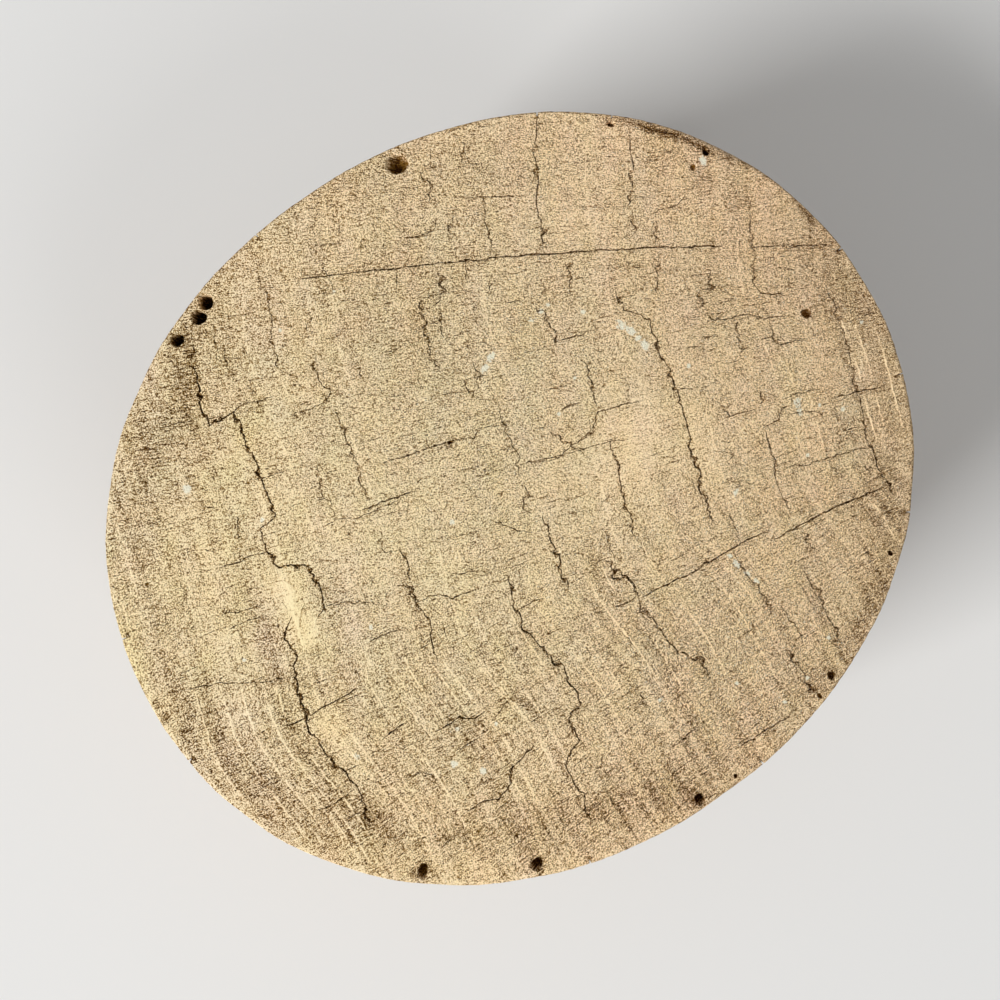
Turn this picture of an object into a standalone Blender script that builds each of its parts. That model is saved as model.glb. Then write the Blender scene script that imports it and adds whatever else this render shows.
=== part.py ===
"""Hat block: an oval crown block carved from one piece of wood, standing on its base with its flat
end-grain tip up. The underside carries the fitting that drops over a block stand's spindle: a flanged
bush in a blind bore, an iron plate that keeps the bush in, and four countersunk screws.

Metres, +Z up. The origin is the middle of the base, X runs along the oval (front to back of the head)
and Y across it. Places on the tip are read from a photograph of it and given in its pixels; tip_point
turns them into metres on the tip.
"""
import math

import bmesh
import bpy
from mathutils import Matrix, Vector

# Crown block
BASE_LENGTH = 0.196
BASE_WIDTH = 0.173
TIP_LENGTH = 0.190
TIP_WIDTH = 0.167
BLOCK_HEIGHT = 0.115
OVAL_POWER = 2.08
FLARE_POWER = 1.7
TIP_ROUND = 0.0012
BASE_ROUND = 0.0012
CORD_GROOVE_RISE = 0.011
CORD_GROOVE_RADIUS = 0.0028
CORD_GROOVE_DEPTH = 0.0018

# Spindle fitting
SPINDLE_BORE = 0.0258
SPINDLE_REACH = 0.062
BUSH_WALL = 0.0022
COLLAR_WIDTH = 0.0040
COLLAR_THICKNESS = 0.0020
PLATE_DIAMETER = 0.074
PLATE_THICKNESS = 0.0030
PLATE_SINK = 0.0008
PLATE_CHAMFER = 0.0005
SCREW_COUNT = 4
SCREW_CIRCLE = 0.056
SCREW_LENGTH = 0.019
SCREW_SHANK = 0.0038
SCREW_HEAD = 0.0074
SCREW_HEAD_DEPTH = 0.0022
SCREW_POINT = 0.0040
SLOT_WIDTH = 0.0011
SLOT_DEPTH = 0.0009
SLOT_FIRST_TURN = math.radians(25)
SLOT_NEXT_TURN = math.radians(62)

FIT_GAP = 0.0003
BORE_END_GAP = 0.0010
CUT_PAST = 0.002

# How the tip lies in the photograph, in pixels and degrees
PHOTO_CENTRE = (510.1, 498.5)
PHOTO_LENGTH = 833.0
PHOTO_TURN = math.radians(34.7)

WALL_SIDES = 128
WALL_ROWS = 6
ROUND_SEGMENTS = 3
LEVEL = 0.0001
BUSH_SIDES = 48
PLATE_SIDES = 64
SCREW_SIDES = 24
HOLE_SIDES = 16

# Nail and tack holes in the tip: place, radius, depth, and the lean from upright with the photograph's
# bearing that the hole leans towards (0 right, 90 up)
NAIL_HOLES = {
    "rim_hole_large": ((396, 163), 0.0023, 0.008, 28, 250),
    "rim_hole_twin_upper": ((205, 302), 0.0018, 0.014, 6, 300),
    "rim_hole_twin_lower": ((199, 317), 0.0016, 0.012, 6, 300),
    "rim_hole_left": ((177, 340), 0.0015, 0.012, 10, 330),
    "rim_hole_top": ((610, 121), 0.0014, 0.009, 4, 270),
    "pit_right": ((807, 313), 0.0012, 0.006, 0, 0),
    "tack_hole_top_right": ((706, 151), 0.0010, 0.005, 8, 240),
    "tack_hole_right_upper": ((832, 676), 0.0010, 0.004, 8, 130),
    "tack_hole_right_lower": ((820, 696), 0.0008, 0.004, 8, 130),
    "tack_hole_lower": ((701, 800), 0.0013, 0.006, 8, 120),
    "tack_hole_bottom": ((537, 866), 0.0012, 0.006, 8, 90),
    "tack_hole_bottom_left": ((422, 873), 0.0010, 0.005, 8, 80),
}

# Drying checks and ring shakes in the tip: width, depth, route
CHECKS = {
    "long_check": (
        0.0008, 0.0060,
        [(300, 279), (358, 272), (413, 266), (499, 257), (576, 252), (657, 247), (724, 246)],
    ),
    "left_shake_upper": (
        0.0006, 0.0040,
        [(192, 361), (198, 386), (206, 421), (233, 412), (246, 438), (262, 477), (275, 517),
         (259, 530), (267, 552)],
    ),
    "left_shake_lower": (
        0.0006, 0.0040,
        [(292, 616), (286, 643), (298, 658), (298, 688), (307, 716), (322, 744), (349, 777), (370, 825)],
    ),
    "top_shake": (0.0005, 0.0035, [(537, 118), (536, 166), (538, 216), (543, 243)]),
    "top_right_shake": (0.0005, 0.0035, [(630, 135), (630, 173), (634, 212), (628, 236)]),
    "middle_shake": (
        0.0007, 0.0050,
        [(616, 287), (626, 314), (651, 320), (658, 340), (672, 376), (684, 416), (693, 452),
         (702, 488), (714, 524)],
    ),
    "right_shake": (
        0.0005, 0.0035,
        [(846, 340), (858, 394), (868, 438), (886, 480), (896, 500)],
    ),
    "inner_right_shake": (0.0006, 0.0035, [(766, 430), (771, 456), (779, 484), (792, 514)]),
    "right_ray": (
        0.0007, 0.0045,
        [(884, 487), (840, 505), (798, 526), (770, 542)],
    ),
    "right_ray_inner": (0.0006, 0.0040, [(757, 531), (728, 551), (690, 574), (640, 598)]),
    "centre_shake": (0.0005, 0.0035, [(544, 516), (550, 534), (557, 558), (568, 592)]),
    "centre_right_shake": (0.0005, 0.0035, [(610, 442), (620, 478), (628, 512), (637, 542)]),
    "lower_right_shake": (
        0.0005, 0.0035,
        [(733, 550), (758, 585), (790, 617), (802, 645), (822, 699)],
    ),
    "lower_shake": (
        0.0005, 0.0035,
        [(515, 610), (535, 640), (562, 668), (579, 702), (572, 727), (581, 741), (562, 767), (586, 793),
         (592, 824)],
    ),
    "lower_middle_shake": (0.0005, 0.0035, [(615, 565), (640, 606), (669, 642), (708, 672)]),
    "bottom_shake": (0.0005, 0.0035, [(536, 741), (508, 772), (512, 783), (485, 802), (465, 813)]),
}
CHECK_END = 0.15
CHECK_FLOOR = 0.12

WOOD = ("dry_end_grain_wood", (0.574, 0.429, 0.253), 0.78, 0.0)
IRON = ("dull_iron", (0.115, 0.105, 0.098), 0.55, 1.0)
BRASS = ("worn_brass", (0.560, 0.390, 0.170), 0.42, 1.0)
STEEL = ("screw_steel", (0.330, 0.320, 0.305), 0.45, 1.0)

# Sizes that follow from the ones above
METRES_PER_PIXEL = TIP_LENGTH / PHOTO_LENGTH
BUSH_RADIUS = SPINDLE_BORE / 2 + BUSH_WALL
COLLAR_RADIUS = BUSH_RADIUS + COLLAR_WIDTH
PLATE_TOP = PLATE_SINK + PLATE_THICKNESS
COLLAR_BOTTOM = PLATE_TOP + FIT_GAP
COLLAR_TOP = COLLAR_BOTTOM + COLLAR_THICKNESS


def new_collection(name):
    """A collection of that name, linked to the scene."""
    collection = bpy.data.collections.new(name)
    bpy.context.scene.collection.children.link(collection)
    return collection


def new_material(name, colour, roughness, metallic):
    """A Principled BSDF material of one colour."""
    material = bpy.data.materials.new(name)
    material.use_nodes = True
    shader = material.node_tree.nodes["Principled BSDF"]
    shader.inputs["Base Color"].default_value = (*colour, 1.0)
    shader.inputs["Roughness"].default_value = roughness
    shader.inputs["Metallic"].default_value = metallic
    material.diffuse_color = (*colour, 1.0)
    return material


def new_object(name, mesh, collection, material=None):
    """An object showing the mesh, in the collection, with the material."""
    thing = bpy.data.objects.new(name, mesh)
    collection.objects.link(thing)
    if material:
        mesh.materials.append(material)
    return thing


def smooth(mesh, sharp_angle=40):
    """Shade the mesh smooth, with edges over the angle kept sharp."""
    mesh.shade_smooth()
    mesh.set_sharp_from_angle(angle=math.radians(sharp_angle))


def cylinder_mesh(name, low_radius, high_radius, low, high, sides):
    """A closed cylinder or cone about Z from height low to height high."""
    bm = bmesh.new()
    bmesh.ops.create_cone(
        bm,
        cap_ends=True,
        segments=sides,
        radius1=low_radius,
        radius2=high_radius,
        depth=high - low,
        matrix=Matrix.Translation((0, 0, (low + high) / 2)),
    )
    mesh = bpy.data.meshes.new(name)
    bm.to_mesh(mesh)
    bm.free()
    return mesh


def cut(target, cutter):
    """Take the cutter out of the target."""
    cutter.hide_render = True
    cutter.display_type = "WIRE"
    modifier = target.modifiers.new(cutter.name, "BOOLEAN")
    modifier.operation = "DIFFERENCE"
    modifier.solver = "EXACT"
    modifier.object = cutter


def evaluated_mesh(thing, name):
    """The object's mesh as the viewport shows it, with its modifiers, and its curve caps welded."""
    depsgraph = bpy.context.evaluated_depsgraph_get()
    mesh = bpy.data.meshes.new_from_object(thing.evaluated_get(depsgraph))
    mesh.name = name
    bm = bmesh.new()
    bm.from_mesh(mesh)
    bmesh.ops.remove_doubles(bm, verts=bm.verts, dist=0.00001)
    bmesh.ops.recalc_face_normals(bm, faces=bm.faces)
    bm.to_mesh(mesh)
    bm.free()
    return mesh


def signed_power(value, power):
    """The value's size raised to the power, with the value's sign."""
    return math.copysign(abs(value) ** power, value)


def oval_point(angle, half_length, half_width):
    """A point of the head oval: |x/a|^n + |y/b|^n = 1, a little fuller than an ellipse."""
    x = half_length * signed_power(math.cos(angle), 2 / OVAL_POWER)
    y = half_width * signed_power(math.sin(angle), 2 / OVAL_POWER)
    return x, y


def half_sizes(height):
    """Half length and half width of the block at a height: the flare eases out towards the tip."""
    flare = max(0.0, 1 - height / BLOCK_HEIGHT) ** FLARE_POWER
    half_length = (TIP_LENGTH + (BASE_LENGTH - TIP_LENGTH) * flare) / 2
    half_width = (TIP_WIDTH + (BASE_WIDTH - TIP_WIDTH) * flare) / 2
    return half_length, half_width


def tip_point(pixel):
    """A pixel of the photograph as a point (x, y) on the tip, in metres."""
    right = (pixel[0] - PHOTO_CENTRE[0]) * METRES_PER_PIXEL
    up = (PHOTO_CENTRE[1] - pixel[1]) * METRES_PER_PIXEL
    x = right * math.cos(PHOTO_TURN) + up * math.sin(PHOTO_TURN)
    y = up * math.cos(PHOTO_TURN) - right * math.sin(PHOTO_TURN)
    return x, y


def crown_block_mesh():
    """The block before any cut: a cylinder whose rows take the oval's size, with rounded rims."""
    bm = bmesh.new()
    bmesh.ops.create_cone(
        bm,
        cap_ends=True,
        segments=WALL_SIDES,
        radius1=1,
        radius2=1,
        depth=BLOCK_HEIGHT,
        matrix=Matrix.Translation((0, 0, BLOCK_HEIGHT / 2)),
    )
    uprights = [edge for edge in bm.edges if abs(edge.verts[0].co.z - edge.verts[1].co.z) > LEVEL]
    bmesh.ops.subdivide_edges(bm, edges=uprights, cuts=WALL_ROWS - 1, use_grid_fill=True)
    for vert in bm.verts:
        angle = math.atan2(vert.co.y, vert.co.x)
        half_length, half_width = half_sizes(vert.co.z)
        vert.co.x, vert.co.y = oval_point(angle, half_length, half_width)
    for height, width in ((BLOCK_HEIGHT, TIP_ROUND), (0.0, BASE_ROUND)):
        rim = [e for e in bm.edges if all(abs(v.co.z - height) < LEVEL for v in e.verts)]
        bmesh.ops.bevel(bm, geom=rim, offset=width, segments=ROUND_SEGMENTS, profile=0.5, affect="EDGES")
    mesh = bpy.data.meshes.new("crown_block")
    bm.to_mesh(mesh)
    bm.free()
    smooth(mesh)
    return mesh


def tube_along(name, points, radius, collection, cyclic):
    """A round bar along the points, as a mesh object: a poly curve with a bevel depth."""
    curve = bpy.data.curves.new(name, "CURVE")
    curve.dimensions = "3D"
    curve.bevel_depth = radius
    curve.bevel_resolution = 2
    curve.use_fill_caps = not cyclic
    spline = curve.splines.new("POLY")
    spline.points.add(len(points) - 1)
    spline.use_cyclic_u = cyclic
    for place, point in zip(spline.points, points):
        place.co = (*point, 1)
    guide = bpy.data.objects.new(name + "_guide", curve)
    collection.objects.link(guide)
    mesh = evaluated_mesh(guide, name)
    bpy.data.objects.remove(guide)
    return new_object(name, mesh, collection)


def cord_groove_cutter(collection):
    """A ring round the block, as far outside the wall as leaves the groove its depth."""
    outward = CORD_GROOVE_RADIUS - CORD_GROOVE_DEPTH
    half_length, half_width = half_sizes(CORD_GROOVE_RISE)
    points = []
    for step in range(WALL_SIDES):
        x, y = oval_point(2 * math.pi * step / WALL_SIDES, half_length + outward, half_width + outward)
        points.append((x, y, CORD_GROOVE_RISE))
    return tube_along("cord_groove_cut", points, CORD_GROOVE_RADIUS, collection, True)


def nail_hole_cutter(name, pixel, radius, depth, lean, bearing, collection):
    """A round hole sunk from the tip, leaning towards a bearing of the photograph."""
    mesh = cylinder_mesh(name, radius * 0.7, radius, -depth, CUT_PAST, HOLE_SIDES)
    cutter = new_object(name, mesh, collection)
    x, y = tip_point(pixel)
    heading = math.radians(bearing) - PHOTO_TURN
    axis = Vector((-math.sin(heading), math.cos(heading), 0))
    turn = Matrix.Rotation(-math.radians(lean), 4, axis)
    cutter.matrix_world = Matrix.Translation((x, y, BLOCK_HEIGHT)) @ turn
    return cutter


def check_cutter(name, width, depth, route, profile, collection):
    """A wedge along a route on the tip: it opens at the tip, ends in an edge below, and runs out thin."""
    curve = bpy.data.curves.new(name, "CURVE")
    curve.dimensions = "3D"
    curve.twist_mode = "Z_UP"
    curve.bevel_mode = "OBJECT"
    curve.bevel_object = profile
    curve.use_fill_caps = True
    spline = curve.splines.new("POLY")
    spline.points.add(len(route) - 1)
    for number, (place, pixel) in enumerate(zip(spline.points, route)):
        x, y = tip_point(pixel)
        place.co = (x, y, BLOCK_HEIGHT, 1)
        place.radius = CHECK_END if number in (0, len(route) - 1) else 1
    guide = bpy.data.objects.new(name + "_guide", curve)
    collection.objects.link(guide)
    mesh = evaluated_mesh(guide, name)
    bpy.data.objects.remove(guide)
    return new_object(name, mesh, collection)


def wedge_profile(width, depth, collection):
    """The wedge's section as a closed curve: wide above the tip, narrow at its floor."""
    curve = bpy.data.curves.new("wedge_section", "CURVE")
    curve.dimensions = "2D"
    spline = curve.splines.new("POLY")
    corners = [
        (-width / 2, CUT_PAST / 2),
        (-width / 2, 0),
        (-width * CHECK_FLOOR, -depth),
        (width * CHECK_FLOOR, -depth),
        (width / 2, 0),
        (width / 2, CUT_PAST / 2),
    ]
    spline.points.add(len(corners) - 1)
    spline.use_cyclic_u = True
    for place, (across, up) in zip(spline.points, corners):
        place.co = (across, up, 0, 1)
    profile = bpy.data.objects.new("wedge_section", curve)
    collection.objects.link(profile)
    return profile


def screw_places():
    """The screws' centres on their circle in the plate."""
    places = []
    for number in range(SCREW_COUNT):
        angle = 2 * math.pi * (number + 0.5) / SCREW_COUNT
        places.append((SCREW_CIRCLE / 2 * math.cos(angle), SCREW_CIRCLE / 2 * math.sin(angle)))
    return places


def turned_mesh(name, profile, sides, collection):
    """The mesh of a profile of (radius, height) points, which run down the outer side, turned about Z."""
    bm = bmesh.new()
    verts = [bm.verts.new((radius, 0, height)) for radius, height in profile]
    for first, second in zip(verts, verts[1:]):
        bm.edges.new((first, second))
    on_axis = profile[0][0] == 0 and profile[-1][0] == 0
    if not on_axis:
        bm.edges.new((verts[-1], verts[0]))
    mesh = bpy.data.meshes.new(name + "_profile")
    bm.to_mesh(mesh)
    bm.free()
    turned = new_object(name + "_profile", mesh, collection)
    modifier = turned.modifiers.new("turn", "SCREW")
    modifier.steps = sides
    modifier.render_steps = sides
    modifier.use_merge_vertices = True
    modifier.merge_threshold = 0.00001
    result = evaluated_mesh(turned, name)
    bpy.data.objects.remove(turned)
    return result


def make_spindle_bush(parts, brass):
    """A tube that the stand's spindle enters, with a collar at its foot that the plate keeps in."""
    top = COLLAR_BOTTOM + SPINDLE_REACH
    inner = SPINDLE_BORE / 2
    profile = [
        (BUSH_RADIUS, top),
        (BUSH_RADIUS, COLLAR_TOP),
        (COLLAR_RADIUS, COLLAR_TOP),
        (COLLAR_RADIUS, COLLAR_BOTTOM),
        (inner, COLLAR_BOTTOM),
        (inner, top),
    ]
    mesh = turned_mesh("spindle_bush", profile, BUSH_SIDES, parts)
    smooth(mesh)
    return new_object("spindle_bush", mesh, parts, brass)


def make_socket_plate(parts, cutters, iron):
    """A round plate let into the underside, bored for the spindle and countersunk for the screws."""
    mesh = cylinder_mesh(
        "socket_plate", PLATE_DIAMETER / 2, PLATE_DIAMETER / 2, PLATE_SINK, PLATE_TOP, PLATE_SIDES
    )
    plate = new_object("socket_plate", mesh, parts, iron)
    edge = plate.modifiers.new("edge", "BEVEL")
    edge.width = PLATE_CHAMFER
    edge.segments = 1
    edge.limit_method = "ANGLE"
    bore = SPINDLE_BORE / 2
    bore_mesh = cylinder_mesh("plate_bore", bore, bore, -CUT_PAST, PLATE_TOP + CUT_PAST, BUSH_SIDES)
    cut(plate, new_object("plate_bore_cut", bore_mesh, cutters))
    shank = SCREW_SHANK / 2 + FIT_GAP
    head = SCREW_HEAD / 2 + FIT_GAP
    for number, (x, y) in enumerate(screw_places()):
        hole = cylinder_mesh("screw_hole", shank, shank, -CUT_PAST, PLATE_TOP + CUT_PAST, SCREW_SIDES)
        hole.transform(Matrix.Translation((x, y, 0)))
        cut(plate, new_object(f"plate_hole_cut_{number}", hole, cutters))
        slope = (head - shank) / SCREW_HEAD_DEPTH
        sink = cylinder_mesh(
            "countersink",
            head + slope * PLATE_SINK,
            shank,
            0,
            PLATE_SINK + SCREW_HEAD_DEPTH,
            SCREW_SIDES,
        )
        sink.transform(Matrix.Translation((x, y, 0)))
        cut(plate, new_object(f"countersink_cut_{number}", sink, cutters))
    return plate


def screw_mesh(parts, cutters):
    """A slotted countersunk wood screw, head down, its head's face at the height it has in the plate."""
    head_face = PLATE_SINK + FIT_GAP / 3
    neck = head_face + SCREW_HEAD_DEPTH
    tip = head_face + SCREW_LENGTH
    profile = [
        (0, tip),
        (SCREW_SHANK / 2, tip - SCREW_POINT),
        (SCREW_SHANK / 2, neck),
        (SCREW_HEAD / 2, head_face),
        (0, head_face),
    ]
    blank = new_object("screw_blank", turned_mesh("screw_blank", profile, SCREW_SIDES, parts), parts)
    bm = bmesh.new()
    bmesh.ops.create_cube(bm, size=1)
    size = Matrix.Diagonal((SCREW_HEAD + CUT_PAST, SLOT_WIDTH, SLOT_DEPTH + CUT_PAST, 1))
    bm.transform(Matrix.Translation((0, 0, head_face + (SLOT_DEPTH - CUT_PAST) / 2)) @ size)
    slot = bpy.data.meshes.new("slot")
    bm.to_mesh(slot)
    bm.free()
    cut(blank, new_object("slot_cut", slot, cutters))
    mesh = evaluated_mesh(blank, "plate_screw")
    bpy.data.objects.remove(blank)
    smooth(mesh)
    return mesh


def make_plate_screws(parts, cutters, steel):
    """The plate's screws, each its own piece, their slots stopped at different angles."""
    mesh = screw_mesh(parts, cutters)
    mesh.materials.append(steel)
    for number, (x, y) in enumerate(screw_places()):
        screw = new_object(f"plate_screw_{number + 1}", mesh, parts)
        screw.location = (x, y, 0)
        screw.rotation_euler.z = SLOT_FIRST_TURN + SLOT_NEXT_TURN * number


def cut_fitting_seats(block, cutters):
    """The plate's recess, the collar's seat, the bush's blind bore and the screws' pilot holes."""
    plate_radius = PLATE_DIAMETER / 2 + FIT_GAP
    seats = [
        ("plate_recess_cut", plate_radius, PLATE_TOP + FIT_GAP, PLATE_SIDES),
        ("collar_seat_cut", COLLAR_RADIUS + FIT_GAP, COLLAR_TOP + FIT_GAP, BUSH_SIDES),
        ("bush_bore_cut", BUSH_RADIUS + FIT_GAP, COLLAR_BOTTOM + SPINDLE_REACH + BORE_END_GAP, BUSH_SIDES),
    ]
    for name, radius, height, sides in seats:
        mesh = cylinder_mesh(name, radius, radius, -CUT_PAST, height, sides)
        cut(block, new_object(name, mesh, cutters))
    pilot = SCREW_SHANK / 2 + FIT_GAP
    for number, (x, y) in enumerate(screw_places()):
        end = PLATE_SINK + SCREW_LENGTH + BORE_END_GAP
        mesh = cylinder_mesh("pilot", pilot, pilot, PLATE_SINK, end, SCREW_SIDES)
        mesh.transform(Matrix.Translation((x, y, 0)))
        cut(block, new_object(f"pilot_cut_{number}", mesh, cutters))


def make_crown_block(parts, cutters, wood):
    """The block, cut for its fitting and cord, with the tip's nail holes, tack holes and checks."""
    block = new_object("crown_block", crown_block_mesh(), parts, wood)
    cut_fitting_seats(block, cutters)
    cut(block, cord_groove_cutter(cutters))
    for name, (pixel, radius, depth, lean, bearing) in NAIL_HOLES.items():
        cut(block, nail_hole_cutter(name, pixel, radius, depth, lean, bearing, cutters))
    for name, (width, depth, route) in CHECKS.items():
        profile = wedge_profile(width, depth, cutters)
        cut(block, check_cutter(name, width, depth, route, profile, cutters))
        bpy.data.objects.remove(profile)
    return block


def main():
    for thing in list(bpy.data.objects):
        bpy.data.objects.remove(thing)
    parts = new_collection("hat_block")
    cutters = new_collection("cutters")
    make_crown_block(parts, cutters, new_material(*WOOD))
    make_spindle_bush(parts, new_material(*BRASS))
    make_socket_plate(parts, cutters, new_material(*IRON))
    make_plate_screws(parts, cutters, new_material(*STEEL))


main()
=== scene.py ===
"""The hat block as it looks: a one-piece oval crown block of old, dry wood, seen from straight above on
its flat end-grain tip, with the spindle fitting in its underside. Metres, +Z up, X along the oval.
Places on the tip are read from the photograph and given in its pixels, named by where they lie.
"""
import math

import bpy
import numpy as np
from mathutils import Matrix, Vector
from mathutils.geometry import delaunay_2d_cdt


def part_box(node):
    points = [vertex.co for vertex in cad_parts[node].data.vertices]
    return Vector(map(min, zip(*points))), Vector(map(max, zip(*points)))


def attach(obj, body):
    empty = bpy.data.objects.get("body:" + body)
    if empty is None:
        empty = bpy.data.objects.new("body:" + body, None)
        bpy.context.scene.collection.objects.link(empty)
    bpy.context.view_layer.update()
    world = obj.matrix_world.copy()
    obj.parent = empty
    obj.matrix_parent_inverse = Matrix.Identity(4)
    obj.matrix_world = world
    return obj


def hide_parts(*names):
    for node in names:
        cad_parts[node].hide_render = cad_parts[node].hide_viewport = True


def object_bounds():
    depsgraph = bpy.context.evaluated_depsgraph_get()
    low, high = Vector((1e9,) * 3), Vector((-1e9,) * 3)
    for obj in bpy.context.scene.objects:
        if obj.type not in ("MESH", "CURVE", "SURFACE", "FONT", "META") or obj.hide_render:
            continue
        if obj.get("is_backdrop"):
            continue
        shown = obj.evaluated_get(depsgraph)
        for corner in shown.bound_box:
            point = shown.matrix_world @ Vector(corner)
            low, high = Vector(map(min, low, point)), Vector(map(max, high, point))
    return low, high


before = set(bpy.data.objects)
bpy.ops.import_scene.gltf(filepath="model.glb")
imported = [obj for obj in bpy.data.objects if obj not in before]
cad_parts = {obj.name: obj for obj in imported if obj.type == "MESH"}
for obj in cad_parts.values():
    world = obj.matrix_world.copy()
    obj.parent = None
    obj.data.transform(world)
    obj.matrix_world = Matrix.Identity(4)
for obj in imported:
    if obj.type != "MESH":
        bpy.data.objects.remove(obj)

cad_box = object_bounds()

# The block: one piece of dry wood carved to a head oval, a little fuller than an ellipse, grain upright.
# Its wall flares slightly towards the base and ends in a narrow rounded rim at the tip. It stands on its
# base, whose size comes from the frame; the tip is 833 pixels long in the photograph.
_, block_high = (np.array(corner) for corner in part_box("crown_block"))
BASE_HALF = block_high[:2]
TIP_HALF = np.array([0.190, 0.167]) / 2
BLOCK_HEIGHT = block_high[2]
OVAL_POWER = 2.08
FLARE_POWER = 1.7
PHOTO_CENTRE = (510.1, 498.5)
PHOTO_LENGTH = 833.0
PHOTO_TURN = math.radians(34.7)
PIXEL = 2 * TIP_HALF[0] / PHOTO_LENGTH


def oval(angle, half_length, half_width):
    """Points of the head oval |x/a|^n + |y/b|^n = 1 at the angles: each axis takes the cosine or sine
    to the power 2/n, with its sign."""
    power = 2 / OVAL_POWER
    x = half_length * np.sign(np.cos(angle)) * np.abs(np.cos(angle)) ** power
    y = half_width * np.sign(np.sin(angle)) * np.abs(np.sin(angle)) ** power
    return x, y


def oval_angle(x, y):
    """The angle at which the oval is drawn in the direction of (x, y): the inverse of oval's powers."""
    power = OVAL_POWER / 2
    along = np.sign(x) * np.abs(x / TIP_HALF[0]) ** power
    across = np.sign(y) * np.abs(y / TIP_HALF[1]) ** power
    return np.arctan2(across, along)


def half_sizes(height):
    """Half length and half width of the wall at a height: the tip's, plus the flare towards the base."""
    flare = np.clip(1 - height / BLOCK_HEIGHT, 0, 1) ** FLARE_POWER
    spread = BASE_HALF - TIP_HALF
    return TIP_HALF[0] + spread[0] * flare, TIP_HALF[1] + spread[1] * flare


def from_picture(right, up):
    """Rightwards and upwards in the picture as the block's x and y: turned by the oval's slant there."""
    x = right * math.cos(PHOTO_TURN) + up * math.sin(PHOTO_TURN)
    y = up * math.cos(PHOTO_TURN) - right * math.sin(PHOTO_TURN)
    return np.stack([x, y], axis=-1)


def on_tip(pixels):
    """Pixels of the photograph as points on the tip: moved to the oval's centre, scaled and turned."""
    pixels = np.asarray(pixels, float)
    right = (pixels[..., 0] - PHOTO_CENTRE[0]) * PIXEL
    up = (PHOTO_CENTRE[1] - pixels[..., 1]) * PIXEL
    return from_picture(right, up)


# The wood's grain: rings are arcs round a pith far outside the block that waver with the bearing from it,
# and rays run straight out from the pith. Every crack and streak follows them. Bearings are in degrees of
# the picture, and a slant is how far the rings lean from true arcs there.
PITH = on_tip((1450, 185))
MIDDLE_BEARING = 18.0
MIDDLE_RADIUS = 0.235
RING_SLANTS = {
    -8: 0, -3: 0, 2: 5, 5.6: -4, 8: 2, 9.5: 12, 12.5: 12, 15: 3, 20: -7, 24: -7, 26: 10, 29: 11, 31: 0,
    33: -6, 36: -6, 45: 0,
}
fine_bearings = np.linspace(-40, 80, 2401)
fine_slants = np.tan(np.radians(np.interp(fine_bearings, list(RING_SLANTS), list(RING_SLANTS.values()))))
ring_waver = np.cumsum(fine_slants) * np.radians(fine_bearings[1] - fine_bearings[0])
ring_waver -= np.interp(MIDDLE_BEARING, fine_bearings, ring_waver)


def bearing(x, y):
    """The bearing of a point from the pith, in degrees of the picture."""
    turned = np.degrees(np.arctan2(PITH[1] - y, PITH[0] - x) + PHOTO_TURN)
    return (turned + 180) % 360 - 180


def ring_distance(x, y):
    """Which ring passes through a point: the distance from the pith, times e to the power of the slants'
    tangent summed up over the bearing. It is the same all along a ring."""
    waver = np.interp(bearing(x, y), fine_bearings, ring_waver)
    return np.hypot(x - PITH[0], y - PITH[1]) * np.exp(waver)


def ray_distance(x, y):
    """Distance along the rings, from the middle ray, as measured on the middle ring."""
    return np.radians(bearing(x, y) - MIDDLE_BEARING) * MIDDLE_RADIUS


def in_grain(ring, degrees):
    """The points on the given rings at the given bearings: the two functions above turned round."""
    away = ring * np.exp(-np.interp(degrees, fine_bearings, ring_waver))
    turn = np.radians(degrees) - PHOTO_TURN
    return np.stack([PITH[0] - away * np.cos(turn), PITH[1] - away * np.sin(turn)], axis=-1)


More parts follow.
